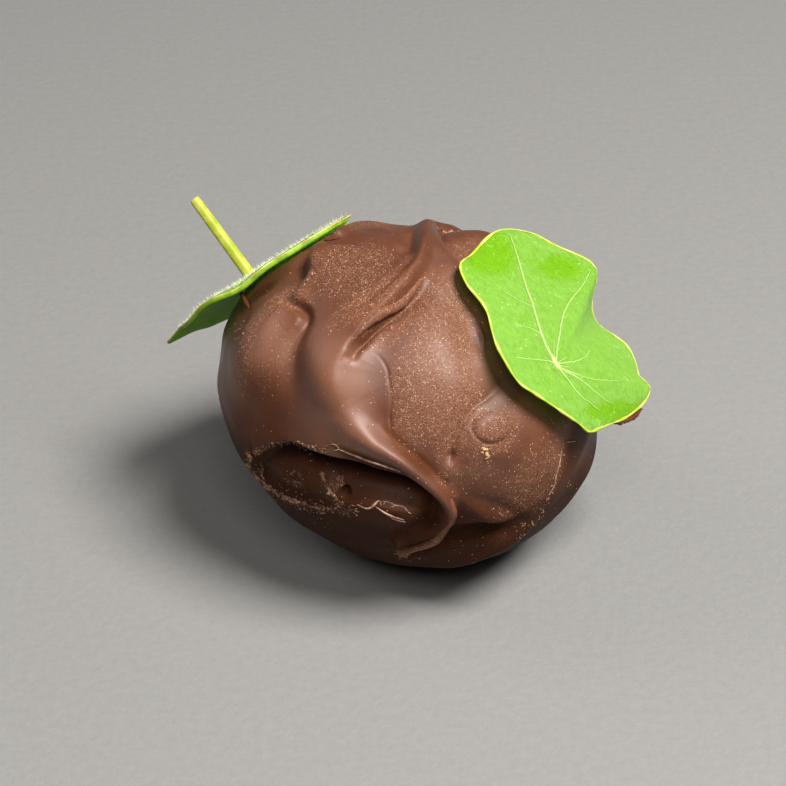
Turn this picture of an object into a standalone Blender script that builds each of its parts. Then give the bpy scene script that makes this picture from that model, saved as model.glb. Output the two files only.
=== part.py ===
"""A hand-dipped chocolate bonbon, about 34 mm across, with two small nasturtium leaves stuck on its coating.

The bonbon is a leaning ball of chocolate whose coating has set in folds: a long ridge that swoops down the shown
face and ends in a hook round a hollow, grooves and lips beside it, and a rolled foot. One leaf lies on its left
shoulder with its stalk standing out, the other faces the viewer on its right shoulder.

Lengths are in millimetres from the ball's middle until the meshes are written, which are in metres, +Z up, with the
origin on the floor under the ball's middle. Most marks are (across, up) pairs, measured in millimetres on a sheet
that stands through the ball's middle and squarely faces an eye in front of it and above it."""

import math

import bmesh
import bpy
import numpy as np

MM = 0.001

# The ball, half its length along each of its axes, and how it leans
BALL_LONG = 17.6
BALL_SHORT = 15.0
BALL_DEEP = 16.3
BALL_LEAN = math.radians(-25)
BALL_HEIGHT = 14.9

# The eye that the marks are laid out from
EYE_ELEVATION = math.radians(35)
EYE_DISTANCE = 220.0

# How finely the solids are cut
BALL_CELLS = 30
BALL_FRONT_SHARE = 0.3
BALL_SOFTNESS = 0.42
LEAF_RINGS = 6
LEAF_SPOKES = 48
STALK_SIDES = 10

LEAF_THICKNESS = 0.36
LEAF_CLEARANCE = 0.3
STALK_LENGTH = 8.9
STALK_RADIUS = 0.48
STALK_BASE_RADIUS = 0.56

RIGHT = np.array([1.0, 0.0, 0.0])
UP = np.array([0.0, math.sin(EYE_ELEVATION), math.cos(EYE_ELEVATION)])
TOWARDS = np.array([0.0, -math.cos(EYE_ELEVATION), math.sin(EYE_ELEVATION)])
SHEET = np.array([RIGHT, UP, TOWARDS])
EYE = EYE_DISTANCE * TOWARDS

BALL_RADII = np.array([BALL_LONG, BALL_SHORT, BALL_DEEP])
BALL_AXES = np.array([
    math.cos(BALL_LEAN) * RIGHT + math.sin(BALL_LEAN) * UP,
    -math.sin(BALL_LEAN) * RIGHT + math.cos(BALL_LEAN) * UP,
    TOWARDS,
])


def unit(vectors):
    """The vectors at length 1."""
    return vectors / np.linalg.norm(vectors, axis=-1, keepdims=True)


def in_radii(vectors):
    """The vectors in the ball's own axes and radii, in which the ball is a unit sphere."""
    return vectors @ BALL_AXES.T / BALL_RADII


def on_ball(points):
    """Each point moved along its radius onto the smooth ball."""
    return points / np.linalg.norm(in_radii(points), axis=-1, keepdims=True)


def ball_normals(points):
    """The smooth ball's outward normals at points on it."""
    return unit((in_radii(points) / BALL_RADII) @ BALL_AXES)


def seen(*marks):
    """The places on the ball that the eye sees behind (across, up) marks on the sheet."""
    rays = np.array(marks) @ SHEET[:2] - EYE
    start, step = in_radii(EYE), in_radii(rays)
    square = (step**2).sum(1)
    half = step @ start
    under_root = np.maximum(half**2 - square * (start @ start - 1), 0)
    reach = (-half - np.sqrt(under_root)) / square
    return on_ball(EYE + reach[:, None] * rays)


def around(*bearings):
    """The places on the ball at (azimuth, elevation) bearings in degrees: 0 is the front, 90 the right side."""
    azimuth, elevation = np.radians(bearings).T
    flat = np.cos(elevation)
    return on_ball(np.stack([np.sin(azimuth) * flat, -np.cos(azimuth) * flat, np.sin(elevation)], axis=1))


def smooth_line(points, spacing=0.25, closed=False):
    """A smooth curve through the points, with a point about every spacing."""
    if closed:
        padded = np.concatenate([points[-1:], points, points[:2]])
    else:
        padded = np.concatenate([2 * points[:1] - points[1:2], points, 2 * points[-1:] - points[-2:-1]])
    made = []
    for a, b, c, d in zip(padded, padded[1:], padded[2:], padded[3:]):
        count = max(2, math.ceil(np.linalg.norm(c - b) / spacing))
        k = np.arange(count)[:, None] / count
        made.append(b + 0.5 * k * (c - a + k * (2 * a - 5 * b + 4 * c - d + k * (3 * (b - c) + d - a))))
    return np.concatenate(made if closed else [*made, points[-1:]])


def along(values, share):
    """A number, or a list of numbers spread evenly along a line, at each share of its length."""
    values = np.atleast_1d(values)
    return np.interp(share, np.linspace(0, 1, len(values)), values)


class Relief:
    """The folds of the coating, gathered as a rise and a sideways shift at each place on the ball."""

    def __init__(self, places, softness):
        self.places = places
        self.softness = softness
        self.normals = ball_normals(places)
        self.rise = np.zeros(len(places))
        self.shift = np.zeros_like(places)

    def along(self, values, share):
        """Widths along a line, no sharper than the cells can show."""
        return np.hypot(along(values, share), self.softness)

    def beside(self, points, reach):
        """The places within reach of a line: their index, their distance to its left, their share of its length
        and the way left."""
        line = on_ball(smooth_line(points))
        lengths = np.linalg.norm(np.diff(line, axis=0), axis=1)
        shares = np.concatenate([[0], np.cumsum(lengths)]) / lengths.sum()
        inside = (self.places > line.min(0) - reach) & (self.places < line.max(0) + reach)
        index = np.flatnonzero(inside.all(1))
        places = self.places[index]
        nearest = np.zeros(len(places), int)
        for part in np.array_split(np.arange(len(places)), 1 + len(places) // 4000):
            gaps = places[part, None] - line[None]
            nearest[part] = (gaps**2).sum(2).argmin(1)
        best = np.full(len(places), np.inf)
        side, share = np.zeros(len(places)), np.zeros(len(places))
        left = np.zeros_like(places)
        for start in (nearest - 1, nearest):
            start = start.clip(0, len(line) - 2)
            foot, run = line[start], line[start + 1] - line[start]
            k = (((places - foot) * run).sum(1) / (run**2).sum(1)).clip(0, 1)
            gap = places - foot - k[:, None] * run
            distance = np.linalg.norm(gap, axis=1)
            leftwards = unit(np.cross(self.normals[index], run))
            closer = distance < best
            best[closer] = distance[closer]
            side[closer] = np.copysign(distance, (gap * leftwards).sum(1))[closer]
            share[closer] = (shares[start] + k * (shares[start + 1] - shares[start]))[closer]
            left[closer] = leftwards[closer]
        kept = best < reach
        return index[kept], side[kept], share[kept], left[kept]

    def ridge(self, points, height, left, right=None, lean=0.0, power=2.0):
        """A ridge, or a groove where height is below 0. left and right are the widths of its flanks, and lean
        pushes its crest over to the left."""
        right = left if right is None else right
        reach = 2.6 * max(np.max(left), np.max(right))
        index, side, share, leftwards = self.beside(points, reach)
        width = np.where(side > 0, self.along(left, share), self.along(right, share))
        self.rise[index] += along(height, share) * np.exp(-np.abs(side / width) ** power)
        self.shift[index] += (along(lean, share) * np.exp(-((side / width) ** 2)))[:, None] * leftwards

    def lip(self, points, height, edge, fade):
        """The ground left of the line stands up by height over an edge this wide, and sinks back over fade."""
        index, side, share, _ = self.beside(points, 2.2 * np.max(fade))
        stand = 0.5 + 0.5 * np.tanh(side / self.along(edge, share))
        self.rise[index] += along(height, share) * stand * np.exp(-((side.clip(0) / along(fade, share)) ** 2))

    def swell(self, middle, height, across, up, turn=0.0, power=2.0):
        """A swelling, or a dent, with these half-widths, turned anticlockwise by turn degrees."""
        gaps = self.places - middle[0]
        normal = ball_normals(middle)[0]
        east = unit(np.cross(UP, normal))
        north = np.cross(normal, east)
        turn = math.radians(turn)
        x = gaps @ (math.cos(turn) * east + math.sin(turn) * north) / across
        y = gaps @ (math.cos(turn) * north - math.sin(turn) * east) / up
        same_side = np.linalg.norm(gaps, axis=1) < 3 * max(across, up)
        self.rise += height * same_side * np.exp(-(np.hypot(x, y) ** power))

    def shape(self):
        """The places with the folds on them."""
        return self.places + self.rise[:, None] * self.normals + self.shift


def swoop(relief):
    """The long ridge: from the top down to the left, back to the right, and round into the hook."""
    relief.ridge(
        np.concatenate([
            around((150, 30), (158, 48)),
            seen((1.9, 15.6), (1.5, 14.2), (1.0, 12.7), (0.4, 11.3), (-0.8, 9.8), (-2.3, 8.3), (-3.7, 6.9)),
            seen((-4.9, 5.5), (-5.7, 4.1), (-6.2, 2.4), (-6.3, 0.6), (-5.9, -1.0), (-4.9, -2.3), (-3.4, -3.4)),
        ]),
        height=[0, 0.5, 0.8, 0.95, 1.0, 1.1, 1.2, 1.2, 1.0, 0.8, 0.6, 0.4],
        left=[1.3, 1.3, 1.1, 1.1, 1.0, 0.85, 0.8, 1.0, 1.6, 2.0, 1.8, 1.3],
        right=[1.4, 1.3, 1.0, 0.9, 0.9, 1.1, 1.6, 2.3, 2.9, 3.0, 2.4, 1.4],
    )
    relief.swell(seen((-7.6, 0.8)), 0.85, 2.9, 4.6, turn=22)
    relief.ridge(
        seen((-6.0, -0.9), (-4.9, -2.1), (-3.4, -3.3), (-1.8, -4.4), (-0.4, -5.5), (1.0, -6.6), (2.2, -7.7), (3.0, -8.7),
             (3.5, -9.6), (3.5, -10.4), (3.1, -11.2), (2.3, -11.9), (1.2, -12.5), (0.1, -12.9), (-0.8, -13.1)),
        height=[0, 0.3, 0.7, 1.0, 1.15, 1.2, 1.25, 1.25, 1.2, 1.1, 1.0, 0.85, 0.75, 0.7, 0.5],
        left=[1.6, 1.5, 1.3, 1.1, 0.9, 0.75, 0.66, 0.6, 0.56, 0.54, 0.52, 0.5, 0.5, 0.5, 0.55],
        right=[1.2, 1.0, 0.85, 0.72, 0.64, 0.58, 0.54, 0.52, 0.5, 0.48, 0.46, 0.44, 0.42, 0.42, 0.5],
        power=3.0,
    )
    relief.ridge(
        seen((3.4, -6.6), (4.2, -7.7), (4.7, -9.0), (4.8, -10.4), (4.3, -11.6), (3.3, -12.7), (1.9, -13.6), (0.2, -14.2),
             (-1.2, -14.3)),
        height=[-0.1, -0.35, -0.5, -0.7, -0.8, -0.8, -0.7, -0.5, -0.1],
        left=[1.7, 1.7, 1.6, 1.4, 1.2, 1.0, 0.9, 0.9, 0.9],
        right=0.7,
    )


def hook_groove(relief):
    """The groove that bites in under the right side of the ridge where it turns, and the crease on its left."""
    relief.ridge(
        seen((2.2, 10.3), (1.0, 9.5), (-0.2, 8.8), (-1.4, 7.9), (-2.5, 7.0), (-3.5, 6.1), (-4.2, 5.2), (-4.8, 4.3),
             (-5.0, 3.6)),
        height=[0, -0.3, -0.5, -0.8, -1.0, -1.2, -1.3, -1.2, -0.5],
        left=[1.1, 1.0, 0.9, 0.8, 0.7, 0.65, 0.6, 0.55, 0.5],
        right=[0.8, 0.7, 0.6, 0.5, 0.45, 0.4, 0.4, 0.4, 0.4],
    )
    relief.ridge(
        seen((2.2, 10.3), (-0.2, 8.8), (-2.5, 7.0), (-4.2, 5.2), (-5.0, 3.6)),
        height=[0, -0.4, -0.5, -0.4, 0],
        left=2.4,
        right=0.5,
    )
    relief.ridge(
        seen((0.3, 14.6), (0.3, 13.4), (0.3, 12.2), (-0.6, 11.1), (-1.9, 9.9), (-3.2, 8.8), (-4.5, 7.8), (-5.7, 7.0)),
        height=[-0.3, -0.55, -0.6, -0.5, -0.45, -0.4, -0.3, 0],
        left=0.4,
        right=0.55,
    )
    relief.swell(seen((-0.6, 13.2)), -0.55, 0.8, 1.1)


def top_folds(relief):
    """The broad fold that leaves the ridge's top to the right, and the small ones round it."""
    relief.ridge(
        seen((1.9, 14.4), (2.7, 13.3), (3.6, 12.2), (4.6, 11.1), (5.6, 10.0)),
        height=[0.2, 0.45, 0.5, 0.4, 0.1],
        left=0.9,
        right=1.4,
    )
    relief.ridge(
        seen((2.6, 15.1), (3.2, 14.2), (4.0, 13.3), (4.8, 12.4), (5.8, 11.4)),
        height=[-0.3, -0.45, -0.45, -0.4, 0],
        left=0.4,
        right=0.35,
    )
    relief.ridge(seen((2.9, 14.6), (3.6, 15.2), (4.4, 15.6)), height=[-0.3, -0.35, -0.2], left=0.4)
    relief.swell(seen((7.2, 13.4)), 1.5, 3.4, 3.0, turn=-25)
    relief.ridge(
        seen((4.2, 10.4), (5.0, 8.6), (5.7, 6.6), (6.3, 4.6), (6.8, 2.8)),
        height=[-0.2, -0.5, -0.6, -0.5, -0.1],
        left=1.7,
        right=1.9,
    )


def left_folds(relief):
    """The smooth lobe on the left, the groove down its right side, and the broken edge of the patch above it."""
    relief.swell(seen((-13.4, 3.4)), 0.75, 3.2, 5.0, turn=-8)
    relief.ridge(
        seen((-11.3, 8.5), (-10.4, 8.2), (-9.6, 7.8), (-9.3, 7.1), (-9.5, 6.3), (-10.0, 5.4), (-10.4, 4.4), (-10.5, 3.2),
             (-10.2, 1.9), (-9.6, 0.6), (-8.8, -0.8)),
        height=[-0.2, -0.6, -0.95, -0.95, -0.8, -0.75, -0.7, -0.6, -0.45, -0.25, 0],
        left=[0.5, 0.5, 0.5, 0.6, 0.8, 1.0, 1.2, 1.3, 1.4, 1.5, 1.6],
        right=[0.35, 0.35, 0.35, 0.4, 0.6, 0.9, 1.1, 1.3, 1.5, 1.7, 1.8],
    )
    relief.lip(
        seen((-10.9, 8.7), (-10.3, 9.3), (-9.5, 10.1), (-8.8, 11.0), (-8.8, 12.0), (-8.7, 12.9), (-8.1, 13.6))[::-1],
        height=[0.5, 0.9, 1.15, 1.15, 0.9, 0.5, 0.1],
        edge=0.28,
        fade=3.2,
    )
    relief.ridge(
        seen((-8.9, 13.2), (-9.4, 12.2), (-9.5, 11.2), (-10.3, 10.2)),
        height=[-0.4, -1.0, -0.9, -0.1],
        left=0.5,
        right=1.1,
    )
    relief.ridge(seen((-8.1, 10.2), (-8.5, 8.8), (-8.2, 7.4)), height=[-0.1, -0.3, -0.1], left=1.0)
    relief.ridge(seen((-6.3, 14.3), (-5.6, 14.8), (-4.9, 14.9)), height=[0.8, 0.9, 0.2], left=0.5)


def hollow(relief):
    """The hollow that the hook closes round, deepest under its upper rim, with a rounded bump in its right half."""
    relief.lip(
        seen((-14.2, -6.4), (-13.6, -5.3), (-12.5, -4.6), (-10.8, -4.2), (-9.2, -4.8), (-7.6, -5.2), (-6.0, -5.4),
             (-4.4, -5.9), (-2.8, -6.3), (-1.3, -6.7), (0.1, -7.2), (1.2, -7.9), (2.1, -8.7), (2.7, -9.5),
             (2.85, -10.3), (2.5, -11.0), (1.7, -11.7), (0.7, -12.1), (-0.4, -12.3), (-1.4, -12.3))[::-1],
        height=[0, -0.3, -0.5, -0.9, -1.5, -2.1, -2.6, -2.8, -2.9, -3.0, -3.1, -3.1, -3.0, -2.9, -2.6, -2.1, -1.5, -0.9, -0.4],
        edge=0.26,
        fade=[1.2, 1.3, 1.4, 1.7, 2.2, 2.6, 2.9, 3.0, 3.0, 2.9, 2.8, 2.8, 2.8, 2.7, 2.5, 2.2, 1.9, 1.5, 1.2],
    )
    relief.lip(
        seen((-14.2, -6.0), (-13.9, -6.8), (-13.1, -7.7), (-12.0, -8.4), (-10.7, -9.1), (-9.2, -9.7), (-7.6, -10.1),
             (-6.0, -10.1)),
        height=[-0.3, -0.6, -0.7, -0.75, -0.7, -0.6, -0.4, -0.1],
        edge=0.28,
        fade=1.8,
    )
    relief.ridge(
        seen((-7.6, -6.4), (-7.7, -7.6), (-7.2, -8.9), (-6.5, -9.9)),
        height=[0.1, 0.4, 0.5, 0.3],
        left=0.6,
        right=0.8,
    )
    relief.swell(seen((-5.9, -9.0)), -0.7, 0.42, 0.42)
    relief.swell(seen((-1.6, -10.3)), 0.5, 3.7, 2.1, turn=-16, power=2.4)


def right_folds(relief):
    """The lobe on the right, the crease that runs down its left side to a pit, and a coin-shaped scar."""
    relief.swell(seen((10.6, -4.3)), 0.75, 4.4, 4.0, turn=-30)
    relief.swell(seen((3.2, 1.5)), 0.5, 2.6, 5.5, turn=6)
    relief.lip(
        seen((3.8, -5.9), (4.0, -4.9), (4.4, -3.8), (5.0, -2.6), (5.8, -1.4), (6.7, -0.4), (7.7, 0.6), (8.8, 1.6))[::-1],
        height=[0, 0, 0.1, 0.2, 0.3, 0.3, 0.25, 0.1],
        edge=0.7,
        fade=3.6,
    )
    relief.ridge(
        seen((8.8, 1.6), (7.7, 0.6), (6.6, -0.5), (5.7, -1.5), (5.0, -2.7), (4.3, -4.0), (3.9, -5.0), (3.7, -5.8)),
        height=[-0.2, -0.3, -0.35, -0.4, -0.4, -0.4, -0.35, -0.15],
        left=0.9,
        right=1.6,
    )
    relief.swell(seen((3.4, -6.9)), 0.45, 0.9, 1.2)
    relief.swell(seen((7.35, -2.75)), 0.25, 1.8, 1.25, turn=12, power=6)
    relief.swell(seen((15.0, -8.4)), -0.5, 4.2, 3.0, turn=-60)


def foot(relief):
    """The dark recess under the right lobe, and the rolled lip of chocolate that runs on round the bottom."""
    relief.lip(
        seen((4.4, -9.6), (5.3, -10.6), (6.6, -11.3), (8.1, -11.5), (9.6, -11.2), (10.9, -10.3)),
        height=[0.3, 0.5, 0.6, 0.6, 0.4, 0.1],
        edge=0.35,
        fade=2.0,
    )
    relief.ridge(
        seen((4.6, -9.2), (6.4, -9.4), (8.2, -9.9), (9.6, -10.7), (10.8, -11.8)),
        height=[0, -0.2, -0.3, -0.35, 0],
        left=0.6,
        right=0.9,
    )
    relief.ridge(
        seen((-1.0, -14.5), (0.8, -14.4), (2.6, -13.9), (4.5, -13.2), (6.4, -12.7), (8.2, -12.3), (9.8, -11.8)),
        height=[-0.1, -0.5, -1.0, -1.3, -1.3, -1.0, -0.1],
        left=1.3,
        right=0.8,
    )
    relief.ridge(
        seen((0.4, -15.3), (2.2, -15.2), (4.0, -14.9), (6.0, -14.3), (7.8, -13.5), (9.4, -12.6), (10.8, -11.8),
             (12.0, -11.0)),
        height=[0.1, 0.4, 0.7, 0.8, 0.8, 0.7, 0.4, 0],
        left=0.9,
        right=1.2,
    )
    relief.ridge(
        around((62, -38), (85, -36), (110, -40), (135, -44), (160, -42)),
        height=[0, 0.3, 0.4, 0.4, 0.2],
        left=1.5,
        right=1.6,
    )


def back_folds(relief):
    """Folds like the shown ones on the side that faces away, with a second hook in the middle of it."""
    relief.ridge(
        around((158, 46), (150, 30), (150, 12), (160, -4), (176, -13), (193, -10), (202, 1), (198, 10)),
        height=[0.2, 0.7, 0.9, 1.0, 1.05, 1.0, 0.9, 0.6],
        left=[1.5, 1.6, 1.6, 1.5, 1.2, 0.9, 0.7, 0.6],
        right=[1.4, 1.4, 1.3, 1.3, 1.2, 1.1, 0.9, 0.7],
        power=2.4,
    )
    relief.ridge(
        around((160, 20), (164, 6), (175, -3), (188, -1), (192, 6)),
        height=[-0.3, -0.8, -1.0, -0.9, -0.3],
        left=1.6,
        right=0.8,
    )
    relief.lip(
        around((196, -28), (212, -20), (226, -8), (232, 8), (228, 24), (216, 36)),
        height=[0.2, 0.6, 0.8, 0.8, 0.6, 0.2],
        edge=0.45,
        fade=3.4,
    )
    relief.ridge(
        around((258, 14), (252, 0), (254, -16), (266, -30)),
        height=[0.2, 0.6, 0.7, 0.3],
        left=1.3,
        right=1.9,
    )
    relief.ridge(
        around((104, 28), (112, 10), (116, -8), (108, -24)),
        height=[-0.2, -0.6, -0.6, -0.2],
        left=0.6,
        right=1.5,
    )
    relief.lip(
        around((70, -24), (84, -18), (100, -16), (118, -20), (134, -26)),
        height=[0.2, 0.5, 0.6, 0.5, 0.2],
        edge=0.5,
        fade=2.6,
    )
    relief.swell(around((205, 50)), 0.5, 3.4, 2.6, turn=20)
    relief.swell(around((128, 24)), 0.5, 3.0, 3.6)
    relief.swell(around((224, -30)), 0.4, 3.0, 2.4)


class Leaf:
    """A wavy round leaf on a flat frame: length runs down its long way, side across it, and face out of it.

    turn is the way that it faces round the sheet, and tilt how far it is turned away from the eye, in degrees. arch
    is how it bends along its length and its side, as radii. Where the rim is given as the eye sees it, its bays
    become waves as well as bays."""

    def __init__(self, middle, turn, tilt, arch, sag, twist=0.0, marks=None, rim=None, waves=()):
        turn, tilt = math.radians(turn), math.radians(tilt)
        self.face = np.array([math.sin(tilt) * math.cos(turn), math.sin(tilt) * math.sin(turn), math.cos(tilt)]) @ SHEET
        self.length = math.sin(turn) * RIGHT - math.cos(turn) * UP
        self.side = np.cross(self.face, self.length)
        self.middle = np.array(middle) @ SHEET
        self.arch, self.sag, self.twist, self.waves = arch, sag, twist, waves
        self.angles = np.arange(120) * math.pi / 60
        line = smooth_line(np.array(rim) if marks is None else self.unseen(marks), closed=True)
        found = np.arctan2(line[:, 1], line[:, 0])
        order = np.argsort(found)
        self.radii = np.interp(self.angles, found[order], np.hypot(*line[order].T), period=2 * math.pi)
        self.waving = np.zeros(120)
        if marks is not None:
            spectrum = np.fft.rfft(self.radii)
            spectrum[3:] = 0
            bay = np.abs(np.sin(self.angles)) * 0.7 * (self.radii - np.fft.irfft(spectrum, 120))
            self.radii -= bay
            self.waving = bay * np.sin(self.angles) / math.tan(tilt)

    def edge(self, angle):
        """How far the rim is from the middle at an angle."""
        return np.interp(angle, self.angles, self.radii, period=2 * math.pi)

    def bend(self, flat):
        """How far the arch and the twist alone lift the leaf out of its frame."""
        length, side = flat.T
        return self.twist * length * side - length**2 / (2 * self.arch[0]) - side**2 / (2 * self.arch[1])

    def rise(self, flat):
        """How far the leaf stands out of its frame at flat (length, side) places."""
        angle = np.arctan2(flat[:, 1], flat[:, 0])
        share = np.hypot(*flat.T) / self.edge(angle)
        out = self.bend(flat) + self.sag * np.exp(-((share / 0.22) ** 2))
        out += share**2 * np.interp(angle, self.angles, self.waving, period=2 * math.pi)
        for count, size, start in self.waves:
            out += size * share**3 * np.cos(count * angle - math.radians(start))
        return out

    def place(self, flat):
        """The leaf's middle surface over flat places."""
        return self.middle + flat @ np.array([self.length, self.side]) + self.rise(flat)[:, None] * self.face

    def unseen(self, marks):
        """The flat places that the eye sees behind (across, up) marks on the sheet, on the arched leaf."""
        rays = np.array(marks) @ SHEET[:2] - EYE
        out = np.zeros(len(marks))
        for _ in range(12):
            reach = ((self.middle - EYE) @ self.face + out) / (rays @ self.face)
            gaps = EYE + reach[:, None] * rays - self.middle
            flat = np.stack([gaps @ self.length, gaps @ self.side], axis=1)
            out = self.bend(flat)
        return flat

    def press(self, points, softness=0.12):
        """Chocolate that would reach the leaf is pressed down to just under it."""
        gaps = points - self.middle
        flat = np.stack([gaps @ self.length, gaps @ self.side], axis=1)
        under = self.rise(flat) - LEAF_THICKNESS / 2 - LEAF_CLEARANCE
        over = gaps @ self.face - under
        near = (np.hypot(*flat.T) < 1.5 * self.edge(np.arctan2(flat[:, 1], flat[:, 0]))) & (over > -4)
        push = softness * np.logaddexp(0, over / softness)
        return points - np.where(near, push, 0)[:, None] * self.face


RIGHT_LEAF = Leaf(
    middle=(12.9, 3.0, 11.4),
    turn=32,
    tilt=54,
    arch=(36.0, 80.0),
    sag=-0.35,
    marks=(
        (8.5, 15.2), (10.9, 15.0), (13.0, 13.9), (15.7, 12.6), (16.7, 11.5), (17.1, 10.1), (17.2, 8.6), (17.7, 6.9),
        (18.9, 5.8), (20.0, 4.6), (20.7, 2.9), (21.0, 1.6), (22.0, 0.0), (21.6, -1.2), (20.0, -1.8), (18.6, -2.2),
        (17.6, -2.8), (16.4, -3.3), (15.7, -2.7), (13.8, -1.3), (11.8, 0.0), (10.0, 1.2), (8.8, 3.0), (7.8, 5.0),
        (7.4, 7.2), (6.6, 8.6), (5.2, 10.2), (4.5, 12.0), (5.7, 12.9), (7.2, 14.3),
    ),
)

LEFT_LEAF = Leaf(
    middle=(-14.2, 10.75, 0.0),
    turn=124,
    tilt=91,
    arch=(150.0, 58.0),
    sag=0.1,
    twist=0.003,
    rim=(
        (10.7, 0.5), (10.4, 4.2), (8.6, 7.4), (5.8, 9.8), (2.4, 10.8), (-0.8, 10.9), (-3.6, 9.6), (-5.9, 8.0),
        (-7.6, 5.6), (-9.0, 4.7), (-9.9, 3.7), (-9.5, 2.8), (-8.5, 1.9), (-8.1, 0.7), (-7.7, -0.8), (-6.9, -2.8), (-5.3, -4.5), (-3.2, -5.6),
        (-0.6, -6.2), (2.4, -6.4), (5.0, -6.1), (7.6, -5.2), (9.5, -3.6), (10.4, -1.4),
    ),
    waves=((2, 0.12, 0), (5, 0.16, 60), (7, 0.1, 150)),
)


def cube_ball(cells, front_share):
    """A unit ball cut into a grid of four-sided cells, finer by front_share on the side that faces the eye."""
    made = bmesh.new()
    bmesh.ops.create_cube(made, size=2.0)
    bmesh.ops.subdivide_edges(made, edges=made.edges, cuts=cells - 1, use_grid_fill=True)
    ways = unit(np.tan(np.array([v.co for v in made.verts]) * math.pi / 4))
    angle = np.arccos(ways[:, 2].clip(-1, 1))
    drawn = angle - front_share * np.sin(angle)
    spread = np.sin(drawn) / np.maximum(np.sin(angle), 1e-9)
    ways = np.stack([ways[:, 0] * spread, ways[:, 1] * spread, np.cos(drawn)], axis=1)
    return made, ways @ SHEET


def bonbon_points(ways):
    """The chocolate's surface, in millimetres from the ball's middle, in these directions from it."""
    relief = Relief(on_ball(ways), BALL_SOFTNESS)
    for folds in (swoop, hook_groove, top_folds, left_folds, hollow, right_folds, foot, back_folds):
        folds(relief)
    relief.swell(on_ball(RIGHT_LEAF.middle[None]), 1.0, 3.2, 2.6)
    points = relief.shape()
    for leaf in (RIGHT_LEAF, LEFT_LEAF):
        points = leaf.press(points)
    points[:, 2] = points[:, 2].clip(-BALL_HEIGHT)
    return points


def metres(points):
    """Millimetres from the ball's middle as metres from the floor under it."""
    return (points + np.array([0, 0, BALL_HEIGHT])) * MM


def material(name, colour, roughness):
    """A plain dielectric finish."""
    made = bpy.data.materials.new(name)
    made.use_nodes = True
    shader = made.node_tree.nodes["Principled BSDF"]
    shader.inputs["Base Color"].default_value = (*colour, 1)
    shader.inputs["Roughness"].default_value = roughness
    shader.inputs["Metallic"].default_value = 0
    made.diffuse_color = (*colour, 1)
    return made


def add_object(name, mesh, finish):
    """A named object for a mesh, shaded smooth."""
    mesh.shade_smooth()
    if finish:
        mesh.materials.append(finish)
    made = bpy.data.objects.new(name, mesh)
    bpy.context.scene.collection.objects.link(made)
    return made


def add_bonbon(finish):
    """The chocolate, a ball with its folds, cut flat where it rests."""
    ball, ways = cube_ball(BALL_CELLS, BALL_FRONT_SHARE)
    for vertex, point in zip(ball.verts, metres(bonbon_points(ways))):
        vertex.co = point
    bmesh.ops.triangulate(ball, faces=ball.faces)
    mesh = bpy.data.meshes.new("bonbon")
    ball.to_mesh(mesh)
    ball.free()
    return add_object("bonbon", mesh, finish)


def add_leaf(name, leaf, finish):
    """A leaf as a sheet of rings and spokes, thickened to both sides."""
    angles = np.arange(LEAF_SPOKES) * 2 * math.pi / LEAF_SPOKES
    rim = leaf.edge(angles)[:, None] * np.stack([np.cos(angles), np.sin(angles)], axis=1)
    shares = (np.arange(LEAF_RINGS) + 1) / LEAF_RINGS
    flat = np.concatenate([[[0.0, 0.0]], *(share * rim for share in shares)])
    faces = [(0, 1 + k, 1 + (k + 1) % LEAF_SPOKES) for k in range(LEAF_SPOKES)]
    for ring in range(LEAF_RINGS - 1):
        inner, outer = 1 + ring * LEAF_SPOKES, 1 + (ring + 1) * LEAF_SPOKES
        for k in range(LEAF_SPOKES):
            after = (k + 1) % LEAF_SPOKES
            faces.append((inner + k, outer + k, outer + after))
            faces.append((inner + k, outer + after, inner + after))
    mesh = bpy.data.meshes.new(name)
    mesh.from_pydata(metres(leaf.place(flat)).tolist(), [], faces)
    made = add_object(name, mesh, finish)
    thicken = made.modifiers.new("thickness", "SOLIDIFY")
    thicken.thickness = LEAF_THICKNESS * MM
    thicken.offset = 0
    return made


def add_stalk(leaf_object, leaf):
    """The stalk stands out of the leaf's middle and is one piece with it."""
    root = leaf.place(np.zeros((1, 2)))[0] - 0.1 * leaf.face
    way = unit(leaf.face - 0.04 * leaf.length)
    east = unit(np.cross(way, TOWARDS))
    north = np.cross(way, east)
    shares = np.array([0.0, 0.03, 0.08, 0.3, 0.55, 0.8, 1.0])
    radii = np.interp(shares, [0, 0.08, 1], [STALK_BASE_RADIUS * 1.35, STALK_BASE_RADIUS, STALK_RADIUS])
    turns = np.arange(STALK_SIDES) * 2 * math.pi / STALK_SIDES
    tube = bmesh.new()
    rings = []
    for share, radius in zip(shares, radii):
        centre = root + share * STALK_LENGTH * way
        ring = centre + radius * (np.cos(turns)[:, None] * east + np.sin(turns)[:, None] * north)
        rings.append([tube.verts.new(point) for point in metres(ring)])
    for lower, upper in zip(rings, rings[1:]):
        for k in range(STALK_SIDES):
            after = (k + 1) % STALK_SIDES
            tube.faces.new((lower[k], lower[after], upper[after], upper[k]))
    tube.faces.new(rings[0][::-1])
    tube.faces.new(rings[-1])
    bmesh.ops.recalc_face_normals(tube, faces=tube.faces)
    mesh = bpy.data.meshes.new("stalk_joined")
    tube.to_mesh(mesh)
    tube.free()
    stalk = add_object("stalk_joined", mesh, None)
    stalk.hide_render = True
    stalk.display_type = "WIRE"
    join = leaf_object.modifiers.new("stalk", "BOOLEAN")
    join.operation = "UNION"
    join.solver = "EXACT"
    join.object = stalk


def main():
    for old in list(bpy.data.objects):
        bpy.data.objects.remove(old)
    chocolate = material("chocolate", (0.12, 0.045, 0.024), 0.42)
    leaf_green = material("leaf_green", (0.27, 0.55, 0.06), 0.5)
    add_bonbon(chocolate)
    add_leaf("leaf_right", RIGHT_LEAF, leaf_green)
    left = add_leaf("leaf_left", LEFT_LEAF, leaf_green)
    add_stalk(left, LEFT_LEAF)


main()
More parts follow.
